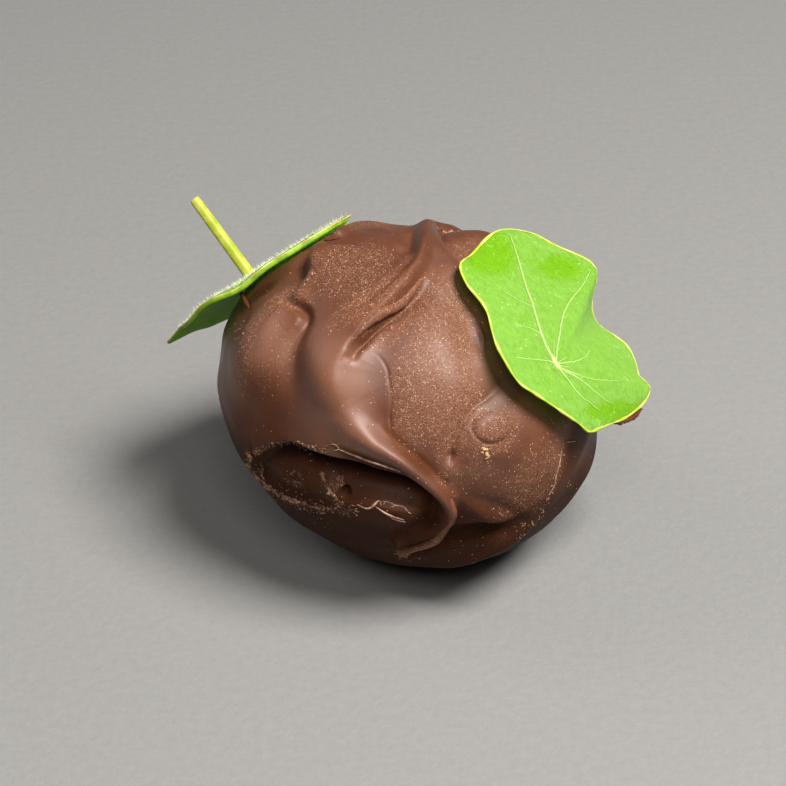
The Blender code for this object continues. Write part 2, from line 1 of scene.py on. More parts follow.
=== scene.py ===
"""The look of a hand-dipped chocolate bonbon with two nasturtium leaves, built over its fixed frame.

Lengths are in millimetres from the ball's middle until a mesh is written, which is in metres in the frame's own
axes. Most marks are (across, up) pairs in millimetres on a sheet that stands through the ball's middle and
squarely faces the eye."""

import math

import bmesh
import bpy
import numpy as np
from mathutils import Matrix, Vector


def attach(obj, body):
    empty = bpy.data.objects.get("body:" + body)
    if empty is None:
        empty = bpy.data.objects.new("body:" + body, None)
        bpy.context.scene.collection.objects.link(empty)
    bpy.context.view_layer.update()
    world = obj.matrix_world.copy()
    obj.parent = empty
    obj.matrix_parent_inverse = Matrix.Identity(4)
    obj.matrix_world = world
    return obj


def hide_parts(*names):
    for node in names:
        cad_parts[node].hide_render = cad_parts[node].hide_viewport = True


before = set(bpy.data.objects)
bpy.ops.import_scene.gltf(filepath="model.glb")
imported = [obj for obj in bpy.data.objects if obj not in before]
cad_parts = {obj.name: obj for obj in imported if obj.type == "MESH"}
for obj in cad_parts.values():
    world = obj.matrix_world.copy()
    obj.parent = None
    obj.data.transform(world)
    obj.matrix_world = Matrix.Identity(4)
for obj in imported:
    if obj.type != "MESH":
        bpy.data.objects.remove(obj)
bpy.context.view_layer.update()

MM = 0.001

# The ball, half its length along each of its axes, and how it leans
BALL_LONG = 17.6
BALL_SHORT = 15.0
BALL_DEEP = 16.3
BALL_LEAN = math.radians(-25)
BALL_HEIGHT = 14.9

# The eye that the marks are laid out from
EYE_ELEVATION = math.radians(35)
EYE_DISTANCE = 220.0

# How finely the surfaces are cut
BALL_CELLS = 128
BALL_FRONT_SHARE = 0.49
LEAF_RINGS = 44
LEAF_SPOKES = 200

LEAF_RIM_STEPS = 120
LEAF_ROLL_STEPS = 150
CREST_SIDES = 20
RIM_SIDES = 8
STALK_RINGS = 60
STALK_SIDES = 24

LEAF_THICKNESS = 0.36
LEAF_CLEARANCE = 0.3
STALK_LENGTH = 8.9
LEAF_HAIRS = 1400
STALK_HAIRS = 260
STRAY_CRUMBS = 120

# The camera, with what it aims at across and up from the ball's middle
LENS = 110.8
SENSOR_WIDTH = 36
NEAREST_SEEN = 0.01
AIM = (-1.36, 0.27)

RIGHT = np.array([1.0, 0.0, 0.0])
UP = np.array([0.0, math.sin(EYE_ELEVATION), math.cos(EYE_ELEVATION)])
TOWARDS = np.array([0.0, -math.cos(EYE_ELEVATION), math.sin(EYE_ELEVATION)])
SHEET = np.array([RIGHT, UP, TOWARDS])
EYE = EYE_DISTANCE * TOWARDS

BALL_RADII = np.array([BALL_LONG, BALL_SHORT, BALL_DEEP])
BALL_AXES = np.array([
    math.cos(BALL_LEAN) * RIGHT + math.sin(BALL_LEAN) * UP,
    -math.sin(BALL_LEAN) * RIGHT + math.cos(BALL_LEAN) * UP,
    TOWARDS,
])


def unit(vectors):
    """The vectors at length 1."""
    return vectors / np.linalg.norm(vectors, axis=-1, keepdims=True)


def steps_round(angles):
    """Unit steps from a middle at these angles."""
    return np.stack([np.cos(angles), np.sin(angles)], axis=-1)


def in_radii(vectors):
    """The vectors in the ball's own axes and radii, in which the ball is a unit sphere."""
    return vectors @ BALL_AXES.T / BALL_RADII


def on_ball(points):
    """Each point moved along its radius onto the smooth ball."""
    return points / np.linalg.norm(in_radii(points), axis=-1, keepdims=True)


def ball_normals(points):
    """The smooth ball's outward normals at points on it."""
    return unit((in_radii(points) / BALL_RADII) @ BALL_AXES)


def seen(*marks):
    """The places on the ball that the eye sees behind (across, up) marks on the sheet."""
    rays = np.array(marks) @ SHEET[:2] - EYE
    start, step = in_radii(EYE), in_radii(rays)
    square = (step**2).sum(1)
    half = step @ start
    under_root = np.maximum(half**2 - square * (start @ start - 1), 0)
    reach = (-half - np.sqrt(under_root)) / square
    return on_ball(EYE + reach[:, None] * rays)


def around(*bearings):
    """The places on the ball at (azimuth, elevation) bearings in degrees: 0 is the front, 90 the right side."""
    azimuth, elevation = np.radians(bearings).T
    flat = np.cos(elevation)
    return on_ball(np.stack([np.sin(azimuth) * flat, -np.cos(azimuth) * flat, np.sin(elevation)], axis=1))


def smooth_line(points, spacing=0.25, closed=False):
    """A smooth curve through the points, with a point about every spacing."""
    if closed:
        padded = np.concatenate([points[-1:], points, points[:2]])
    else:
        padded = np.concatenate([2 * points[:1] - points[1:2], points, 2 * points[-1:] - points[-2:-1]])
    made = []
    for a, b, c, d in zip(padded, padded[1:], padded[2:], padded[3:]):
        count = max(2, math.ceil(np.linalg.norm(c - b) / spacing))
        k = np.arange(count)[:, None] / count
        made.append(b + 0.5 * k * (c - a + k * (2 * a - 5 * b + 4 * c - d + k * (3 * (b - c) + d - a))))
    return np.concatenate(made if closed else [*made, points[-1:]])


def along(values, share):
    """A number, or a list of numbers spread evenly along a line, at each share of its length."""
    values = np.atleast_1d(values)
    return np.interp(share, np.linspace(0, 1, len(values)), values)


class Relief:
    """The folds of the coating, gathered as a rise and a sideways shift at each place on the ball."""

    def __init__(self, places, softness):
        self.places = places
        self.softness = softness
        self.normals = ball_normals(places)
        self.rise = np.zeros(len(places))
        self.shift = np.zeros_like(places)

    def along(self, values, share):
        """Widths along a line, no sharper than the cells can show."""
        return np.hypot(along(values, share), self.softness)

    def beside(self, points, reach):
        """The places within reach of a line: their index, their distance to its left, their share of its length
        and the way left."""
        line = on_ball(smooth_line(points))
        lengths = np.linalg.norm(np.diff(line, axis=0), axis=1)
        shares = np.concatenate([[0], np.cumsum(lengths)]) / lengths.sum()
        inside = (self.places > line.min(0) - reach) & (self.places < line.max(0) + reach)
        index = np.flatnonzero(inside.all(1))
        places = self.places[index]
        nearest = np.zeros(len(places), int)
        for part in np.array_split(np.arange(len(places)), 1 + len(places) // 4000):
            gaps = places[part, None] - line[None]
            nearest[part] = (gaps**2).sum(2).argmin(1)
        best = np.full(len(places), np.inf)
        side, share = np.zeros(len(places)), np.zeros(len(places))
        left = np.zeros_like(places)
        for start in (nearest - 1, nearest):
            start = start.clip(0, len(line) - 2)
            foot, run = line[start], line[start + 1] - line[start]
            k = (((places - foot) * run).sum(1) / (run**2).sum(1)).clip(0, 1)
            gap = places - foot - k[:, None] * run
            distance = np.linalg.norm(gap, axis=1)
            leftwards = unit(np.cross(self.normals[index], run))
            closer = distance < best
            best[closer] = distance[closer]
            side[closer] = np.copysign(distance, (gap * leftwards).sum(1))[closer]
            share[closer] = (shares[start] + k * (shares[start + 1] - shares[start]))[closer]
            left[closer] = leftwards[closer]
        kept = best < reach
        return index[kept], side[kept], share[kept], left[kept]

    def ridge(self, points, height, left, right=None, lean=0.0, power=2.0):
        """A ridge, or a groove where height is below 0. left and right are the widths of its flanks, and lean
        pushes its crest over to the left."""
        right = left if right is None else right
        reach = 2.6 * max(np.max(left), np.max(right))
        index, side, share, leftwards = self.beside(points, reach)
        width = np.where(side > 0, self.along(left, share), self.along(right, share))
        self.rise[index] += along(height, share) * np.exp(-np.abs(side / width) ** power)
        self.shift[index] += (along(lean, share) * np.exp(-((side / width) ** 2)))[:, None] * leftwards

    def lip(self, points, height, edge, fade):
        """The ground left of the line stands up by height over an edge this wide, and sinks back over fade."""
        index, side, share, _ = self.beside(points, 2.2 * np.max(fade))
        stand = 0.5 + 0.5 * np.tanh(side / self.along(edge, share))
        self.rise[index] += along(height, share) * stand * np.exp(-((side.clip(0) / along(fade, share)) ** 2))

    def swell(self, middle, height, across, up, turn=0.0, power=2.0):
        """A swelling, or a dent, with these half-widths, turned anticlockwise by turn degrees."""
        gaps = self.places - middle[0]
        normal = ball_normals(middle)[0]
        east = unit(np.cross(UP, normal))
        north = np.cross(normal, east)
        turn = math.radians(turn)
        x = gaps @ (math.cos(turn) * east + math.sin(turn) * north) / across
        y = gaps @ (math.cos(turn) * north - math.sin(turn) * east) / up
        same_side = np.linalg.norm(gaps, axis=1) < 3 * max(across, up)
        self.rise += height * same_side * np.exp(-(np.hypot(x, y) ** power))

    def shape(self):
        """The places with the folds on them."""
        return self.places + self.rise[:, None] * self.normals + self.shift


def swoop(relief):
    """The long ridge: from the top down to the left, back to the right, and round into the hook."""
    relief.ridge(
        np.concatenate([
            around((150, 30), (158, 48)),
            seen((1.9, 15.6), (1.5, 14.2), (1.0, 12.7), (0.4, 11.3), (-0.8, 9.8), (-2.3, 8.3), (-3.7, 6.9)),
            seen((-4.9, 5.5), (-5.7, 4.1), (-6.2, 2.4), (-6.3, 0.6), (-5.9, -1.0), (-4.9, -2.3), (-3.4, -3.4)),
        ]),
        height=[0, 0.5, 0.8, 0.95, 1.0, 1.1, 1.2, 1.2, 1.0, 0.8, 0.6, 0.4],
        left=[1.3, 1.3, 1.1, 1.1, 1.0, 0.85, 0.8, 1.0, 1.6, 2.0, 1.8, 1.3],
        right=[1.4, 1.3, 1.0, 0.9, 0.9, 1.1, 1.6, 2.3, 2.9, 3.0, 2.4, 1.4],
    )
    relief.swell(seen((-7.6, 0.8)), 0.85, 2.9, 4.6, turn=22)
    relief.ridge(
        seen((-6.2, -1.0), (-5.2, -2.3), (-3.6, -3.5), (-2.0, -4.6), (-0.5, -5.6), (0.9, -6.7), (2.1, -7.8),
             (3.0, -8.8), (3.5, -9.6), (3.5, -10.4), (3.1, -11.2), (2.3, -11.9), (1.2, -12.5), (0.1, -12.9),
             (-0.8, -13.1)),
        height=[0, 0.3, 0.7, 1.0, 1.15, 1.2, 1.25, 1.25, 1.2, 1.1, 1.0, 0.85, 0.75, 0.7, 0.5],
        left=[1.4, 1.1, 0.85, 0.65, 0.55, 0.5, 0.5, 0.5, 0.56, 0.54, 0.52, 0.5, 0.5, 0.5, 0.55],
        right=[1.5, 1.4, 1.2, 1.0, 0.8, 0.65, 0.54, 0.52, 0.5, 0.48, 0.46, 0.44, 0.42, 0.42, 0.5],
        power=2.5,
    )
    relief.ridge(
        seen((3.4, -6.6), (4.2, -7.7), (4.7, -9.0), (4.8, -10.4), (4.3, -11.6), (3.3, -12.7), (1.9, -13.6),
             (0.2, -14.2), (-1.2, -14.3)),
        height=[-0.1, -0.35, -0.5, -0.7, -0.8, -0.8, -0.7, -0.5, -0.1],
        left=[1.7, 1.7, 1.6, 1.4, 1.2, 1.0, 0.9, 0.9, 0.9],
        right=0.7,
    )


def hook_groove(relief):
    """The groove that bites in under the right side of the ridge where it turns, and the crease on its left."""
    relief.ridge(
        seen((2.2, 10.3), (1.0, 9.5), (-0.2, 8.8), (-1.4, 7.9), (-2.5, 7.0), (-3.5, 6.1), (-4.2, 5.2),
             (-4.8, 4.3), (-5.0, 3.6)),
        height=[0, -0.3, -0.5, -0.8, -1.0, -1.2, -1.3, -1.2, -0.5],
        left=[1.1, 1.0, 0.9, 0.8, 0.7, 0.65, 0.6, 0.55, 0.5],
        right=[0.8, 0.7, 0.6, 0.5, 0.45, 0.4, 0.4, 0.4, 0.4],
    )
    relief.ridge(
        seen((2.2, 10.3), (-0.2, 8.8), (-2.5, 7.0), (-4.2, 5.2), (-5.0, 3.6)),
        height=[0, -0.4, -0.5, -0.4, 0],
        left=2.4,
        right=0.5,
    )
    relief.ridge(
        seen((0.3, 14.6), (0.3, 13.4), (0.3, 12.2), (-0.6, 11.1), (-1.9, 9.9), (-3.2, 8.8), (-4.5, 7.8),
             (-5.7, 7.0)),
        height=[-0.3, -0.55, -0.6, -0.5, -0.45, -0.4, -0.3, 0],
        left=0.4,
        right=0.55,
    )
    relief.swell(seen((-0.6, 13.2)), -0.55, 0.8, 1.1)


def top_folds(relief):
    """The broad fold that leaves the ridge's top to the right, and the small ones round it."""
    relief.ridge(
        seen((1.9, 14.4), (2.7, 13.3), (3.6, 12.2), (4.6, 11.1), (5.6, 10.0)),
        height=[0.2, 0.45, 0.5, 0.4, 0.1],
        left=0.9,
        right=1.4,
    )
    relief.ridge(
        seen((2.6, 15.1), (3.2, 14.2), (4.0, 13.3), (4.8, 12.4), (5.8, 11.4)),
        height=[-0.3, -0.45, -0.45, -0.4, 0],
        left=0.4,
        right=0.35,
    )
    relief.ridge(seen((2.9, 14.6), (3.6, 15.2), (4.4, 15.6)), height=[-0.3, -0.35, -0.2], left=0.4)
    relief.swell(seen((7.2, 13.4)), 1.5, 3.4, 3.0, turn=-25)
    relief.ridge(
        seen((4.2, 10.4), (5.0, 8.6), (5.7, 6.6), (6.3, 4.6), (6.8, 2.8)),
        height=[-0.2, -0.5, -0.6, -0.5, -0.1],
        left=1.7,
        right=1.9,
    )


def left_folds(relief):
    """The smooth lobe on the left, the groove down its right side, and the patch's broken edge above it."""
    relief.swell(seen((-13.4, 3.4)), 0.75, 3.2, 5.0, turn=-8)
    relief.ridge(
        seen((-11.3, 8.5), (-10.4, 8.2), (-9.6, 7.8), (-9.3, 7.1), (-9.5, 6.3), (-10.0, 5.4), (-10.4, 4.4),
             (-10.5, 3.2), (-10.2, 1.9), (-9.6, 0.6), (-8.8, -0.8)),
        height=[-0.2, -0.6, -0.95, -0.95, -0.8, -0.75, -0.7, -0.6, -0.45, -0.25, 0],
        left=[0.5, 0.5, 0.5, 0.6, 0.8, 1.0, 1.2, 1.3, 1.4, 1.5, 1.6],
        right=[0.35, 0.35, 0.35, 0.4, 0.6, 0.9, 1.1, 1.3, 1.5, 1.7, 1.8],
    )
    relief.lip(
        seen((-10.9, 8.7), (-10.3, 9.3), (-9.5, 10.1), (-8.8, 11.0), (-8.8, 12.0), (-8.7, 12.9),
             (-8.1, 13.6))[::-1],
        height=[0.5, 0.9, 1.15, 1.15, 0.9, 0.5, 0.1],
        edge=0.28,
        fade=3.2,
    )
    relief.ridge(
        seen((-8.9, 13.2), (-9.4, 12.2), (-9.5, 11.2), (-10.3, 10.2)),
        height=[-0.4, -1.0, -0.9, -0.1],
        left=0.5,
        right=1.1,
    )
    relief.ridge(seen((-8.1, 10.2), (-8.5, 8.8), (-8.2, 7.4)), height=[-0.1, -0.3, -0.1], left=1.0)
    relief.ridge(seen((-6.3, 14.3), (-5.6, 14.8), (-4.9, 14.9)), height=[0.8, 0.9, 0.2], left=0.5)


def hollow(relief):
    """The hollow that the hook closes round, deepest under its upper rim, with a round bump on its right."""
    relief.lip(
        seen((-14.2, -6.4), (-13.6, -5.3), (-12.5, -4.6), (-10.8, -4.2), (-9.2, -4.8), (-7.6, -5.2),
             (-6.0, -5.4), (-4.4, -5.9), (-2.8, -6.3), (-1.3, -6.7), (0.1, -7.2), (1.2, -7.9), (2.1, -8.7),
             (2.7, -9.5), (2.85, -10.3), (2.5, -11.0), (1.7, -11.7), (0.7, -12.1), (-0.4, -12.3),
             (-1.4, -12.3))[::-1],
        height=[0, -0.3, -0.5, -0.9, -1.5, -2.1, -2.6, -2.8, -2.9, -3.0, -3.1, -3.1, -3.0, -2.9, -2.6, -2.1,
                -1.5, -0.9, -0.4],
        edge=0.26,
        fade=[1.2, 1.3, 1.4, 1.7, 2.2, 2.6, 2.9, 3.0, 3.0, 2.9, 2.8, 2.8, 2.8, 2.7, 2.5, 2.2, 1.9, 1.5, 1.2],
    )
    relief.lip(
        seen((-14.2, -6.0), (-13.9, -6.8), (-13.1, -7.7), (-12.0, -8.4), (-10.7, -9.1), (-9.2, -9.7),
             (-7.6, -10.1), (-6.0, -10.1)),
        height=[-0.3, -0.6, -0.7, -0.75, -0.7, -0.6, -0.4, -0.1],
        edge=0.28,
        fade=1.8,
    )
    relief.ridge(
        seen((-7.6, -6.4), (-7.7, -7.6), (-7.2, -8.9), (-6.5, -9.9)),
        height=[0.1, 0.4, 0.5, 0.3],
        left=0.6,
        right=0.8,
    )
    relief.swell(seen((-5.9, -9.0)), -0.7, 0.42, 0.42)
    relief.swell(seen((-1.6, -10.3)), 0.5, 3.7, 2.1, turn=-16, power=2.4)


def right_folds(relief):
    """The lobe on the right, the crease that runs down its left side to a pit, and a coin-shaped scar."""
    relief.swell(seen((10.6, -4.3)), 0.75, 4.4, 4.0, turn=-30)
    relief.swell(seen((3.2, 1.5)), 0.5, 2.6, 5.5, turn=6)
    relief.lip(
        seen((3.8, -5.9), (4.0, -4.9), (4.4, -3.8), (5.0, -2.6), (5.8, -1.4), (6.7, -0.4), (7.7, 0.6),
             (8.8, 1.6))[::-1],
        height=[0, 0, 0.1, 0.2, 0.3, 0.3, 0.25, 0.1],
        edge=0.7,
        fade=3.6,
    )
    relief.ridge(
        seen((8.8, 1.6), (7.7, 0.6), (6.6, -0.5), (5.7, -1.5), (5.0, -2.7), (4.3, -4.0), (3.9, -5.0),
             (3.7, -5.8)),
        height=[-0.2, -0.3, -0.35, -0.4, -0.4, -0.4, -0.35, -0.15],
        left=0.9,
        right=1.6,
    )
    relief.swell(seen((3.4, -6.9)), 0.45, 0.9, 1.2)
    relief.swell(seen((7.35, -2.75)), 0.25, 1.8, 1.25, turn=12, power=6)
    relief.swell(seen((15.0, -8.4)), -0.5, 4.2, 3.0, turn=-60)


def foot(relief):
    """The dark recess under the right lobe, and the rolled lip of chocolate that runs on round the bottom."""
    relief.lip(
        seen((4.4, -9.6), (5.3, -10.6), (6.6, -11.3), (8.1, -11.5), (9.6, -11.2), (10.9, -10.3)),
        height=[0.3, 0.5, 0.6, 0.6, 0.4, 0.1],
        edge=0.35,
        fade=2.0,
    )
    relief.ridge(
        seen((4.6, -9.2), (6.4, -9.4), (8.2, -9.9), (9.6, -10.7), (10.8, -11.8)),
        height=[0, -0.2, -0.3, -0.35, 0],
        left=0.6,
        right=0.9,
    )
    relief.ridge(
        seen((-1.0, -14.5), (0.8, -14.4), (2.6, -13.9), (4.5, -13.2), (6.4, -12.7), (8.2, -12.3), (9.8, -11.8)),
        height=[-0.1, -0.5, -1.0, -1.3, -1.3, -1.0, -0.1],
        left=1.3,
        right=0.8,
    )
    relief.ridge(
        seen((0.4, -15.3), (2.2, -15.2), (4.0, -14.9), (6.0, -14.3), (7.8, -13.5), (9.4, -12.6), (10.8, -11.8),
             (12.0, -11.0)),
        height=[0.1, 0.4, 0.7, 0.8, 0.8, 0.7, 0.4, 0],
        left=0.9,
        right=1.2,
    )
    relief.ridge(
        around((62, -38), (85, -36), (110, -40), (135, -44), (160, -42)),
        height=[0, 0.3, 0.4, 0.4, 0.2],
        left=1.5,
        right=1.6,
    )


def back_folds(relief):
    """Folds like the shown ones on the side that faces away, with a second hook in the middle of it."""
    relief.ridge(
        around((158, 46), (150, 30), (150, 12), (160, -4), (176, -13), (193, -10), (202, 1), (198, 10)),
        height=[0.2, 0.7, 0.9, 1.0, 1.05, 1.0, 0.9, 0.6],
        left=[1.5, 1.6, 1.6, 1.5, 1.2, 0.9, 0.7, 0.6],
        right=[1.4, 1.4, 1.3, 1.3, 1.2, 1.1, 0.9, 0.7],
        power=2.4,
    )
    relief.ridge(
        around((160, 20), (164, 6), (175, -3), (188, -1), (192, 6)),
        height=[-0.3, -0.8, -1.0, -0.9, -0.3],
        left=1.6,
        right=0.8,
    )
    relief.lip(
        around((196, -28), (212, -20), (226, -8), (232, 8), (228, 24), (216, 36)),
        height=[0.2, 0.6, 0.8, 0.8, 0.6, 0.2],
        edge=0.45,
        fade=3.4,
    )
    relief.ridge(
        around((258, 14), (252, 0), (254, -16), (266, -30)),
        height=[0.2, 0.6, 0.7, 0.3],
        left=1.3,
        right=1.9,
    )
    relief.ridge(
        around((104, 28), (112, 10), (116, -8), (108, -24)),
        height=[-0.2, -0.6, -0.6, -0.2],
        left=0.6,
        right=1.5,
    )
    relief.lip(
        around((70, -24), (84, -18), (100, -16), (118, -20), (134, -26)),
        height=[0.2, 0.5, 0.6, 0.5, 0.2],
        edge=0.5,
        fade=2.6,
    )
    relief.swell(around((205, 50)), 0.5, 3.4, 2.6, turn=20)
    relief.swell(around((128, 24)), 0.5, 3.0, 3.6)
    relief.swell(around((224, -30)), 0.4, 3.0, 2.4)


class Leaf:
    """A wavy round leaf on a flat frame: length runs down its long way, side across it, and face out of it.

    turn is the way that it faces round the sheet, and tilt how far it is turned away from the eye, in degrees.
    arch is how it bends along its length and its side, as radii. Where the rim is given as the eye sees it, its
    bays become waves as well as bays."""

    def __init__(self, middle, turn, tilt, arch, sag, twist=0.0, marks=None, rim=None, waves=()):
        turn, tilt = math.radians(turn), math.radians(tilt)
        self.face = np.array([math.sin(tilt) * math.cos(turn), math.sin(tilt) * math.sin(turn),
                              math.cos(tilt)]) @ SHEET
        self.length = math.sin(turn) * RIGHT - math.cos(turn) * UP
        self.side = np.cross(self.face, self.length)
        self.middle = np.array(middle) @ SHEET
        self.arch, self.sag, self.twist, self.waves = arch, sag, twist, waves
        self.angles = np.arange(LEAF_RIM_STEPS) * 2 * math.pi / LEAF_RIM_STEPS
        line = smooth_line(np.array(rim) if marks is None else self.unseen(marks), closed=True)
        found = np.arctan2(line[:, 1], line[:, 0])
        order = np.argsort(found)
        self.radii = np.interp(self.angles, found[order], np.hypot(*line[order].T), period=2 * math.pi)
        self.waving = np.zeros(LEAF_RIM_STEPS)
        if marks is not None:
            spectrum = np.fft.rfft(self.radii)
            spectrum[3:] = 0
            bay = np.abs(np.sin(self.angles)) * 0.7 * (self.radii - np.fft.irfft(spectrum, LEAF_RIM_STEPS))
            self.radii -= bay
            self.waving = bay * np.sin(self.angles) / math.tan(tilt)

    def edge(self, angle):
        """How far the rim is from the middle at an angle."""
        return np.interp(angle, self.angles, self.radii, period=2 * math.pi)

    def rim(self, angles):
        """The flat places on the rim at these angles."""
        return self.edge(angles)[:, None] * steps_round(angles)

    def bend(self, flat):
        """How far the arch and the twist alone lift the leaf out of its frame."""
        length, side = flat.T
        return self.twist * length * side - length**2 / (2 * self.arch[0]) - side**2 / (2 * self.arch[1])

    def rise(self, flat):
        """How far the leaf stands out of its frame at flat (length, side) places."""
        angle = np.arctan2(flat[:, 1], flat[:, 0])
        share = np.hypot(*flat.T) / self.edge(angle)
        out = self.bend(flat) + self.sag * np.exp(-((share / 0.22) ** 2))
        out += share**2 * np.interp(angle, self.angles, self.waving, period=2 * math.pi)
        for count, size, start in self.waves:
            out += size * share**3 * np.cos(count * angle - math.radians(start))
        return out

    def place(self, flat):
        """The leaf's middle surface over flat places."""
        return self.middle + flat @ np.array([self.length, self.side]) + self.rise(flat)[:, None] * self.face

    def unseen(self, marks):
        """The flat places that the eye sees behind (across, up) marks on the sheet, on the arched leaf."""
        rays = np.array(marks) @ SHEET[:2] - EYE
        out = np.zeros(len(marks))
        for _ in range(12):
            reach = ((self.middle - EYE) @ self.face + out) / (rays @ self.face)
            gaps = EYE + reach[:, None] * rays - self.middle
            flat = np.stack([gaps @ self.length, gaps @ self.side], axis=1)
            out = self.bend(flat)
        return flat

    def press(self, points, softness=0.12):
        """Chocolate that would reach the leaf is pressed down to just under it."""
        gaps = points - self.middle
        flat = np.stack([gaps @ self.length, gaps @ self.side], axis=1)
        under = self.rise(flat) - LEAF_THICKNESS / 2 - LEAF_CLEARANCE
        over = gaps @ self.face - under
        near = (np.hypot(*flat.T) < 1.5 * self.edge(np.arctan2(flat[:, 1], flat[:, 0]))) & (over > -4)
        push = softness * np.logaddexp(0, over / softness)
        return points - np.where(near, push, 0)[:, None] * self.face


RIGHT_LEAF = Leaf(
    middle=(12.9, 3.0, 11.4),
    turn=32,
    tilt=54,
    arch=(36.0, 80.0),
    sag=-0.35,
    marks=(
        (8.5, 15.2), (10.9, 15.0), (13.0, 13.9), (15.7, 12.6), (16.7, 11.5), (17.1, 10.1), (17.2, 8.6),
        (17.7, 6.9), (18.9, 5.8), (20.0, 4.6), (20.7, 2.9), (21.0, 1.6), (22.0, 0.0), (21.6, -1.2),
        (20.0, -1.8), (18.6, -2.2), (17.6, -2.8), (16.4, -3.3), (15.7, -2.7), (13.8, -1.3), (11.8, 0.0),
        (10.0, 1.2), (8.8, 3.0), (7.8, 5.0), (7.4, 7.2), (6.6, 8.6), (5.2, 10.2), (4.5, 12.0), (5.7, 12.9),
        (7.2, 14.3),
    ),
)

LEFT_LEAF = Leaf(
    middle=(-14.2, 10.75, 0.0),
    turn=124,
    tilt=91,
    arch=(150.0, 58.0),
    sag=0.1,
    twist=0.003,
    rim=(
        (10.7, 0.5), (10.4, 4.2), (8.6, 7.4), (5.8, 9.8), (2.4, 10.8), (-0.8, 10.9), (-3.6, 9.6), (-5.9, 8.0),
        (-7.6, 5.6), (-9.0, 4.7), (-9.9, 3.7), (-9.5, 2.8), (-8.5, 1.9), (-8.1, 0.7), (-7.7, -0.8),
        (-6.9, -2.8), (-5.3, -4.5), (-3.2, -5.6), (-0.6, -6.2), (2.4, -6.4), (5.0, -6.1), (7.6, -5.2),
        (9.5, -3.6), (10.4, -1.4),
    ),
    waves=((2, 0.12, 0), (5, 0.16, 60), (7, 0.1, 150)),
)


def cube_ball(cells, front_share):
    """A unit ball cut into a grid of four-sided cells, finer by front_share on the side that faces the eye."""
    made = bmesh.new()
    bmesh.ops.create_cube(made, size=2.0)
    bmesh.ops.subdivide_edges(made, edges=made.edges, cuts=cells - 1, use_grid_fill=True)
    ways = unit(np.tan(np.array([v.co for v in made.verts]) * math.pi / 4))
    angle = np.arccos(ways[:, 2].clip(-1, 1))
    drawn = angle - front_share * np.sin(angle)
    spread = np.sin(drawn) / np.maximum(np.sin(angle), 1e-9)
    ways = np.stack([ways[:, 0] * spread, ways[:, 1] * spread, np.cos(drawn)], axis=1)
    return made, ways @ SHEET


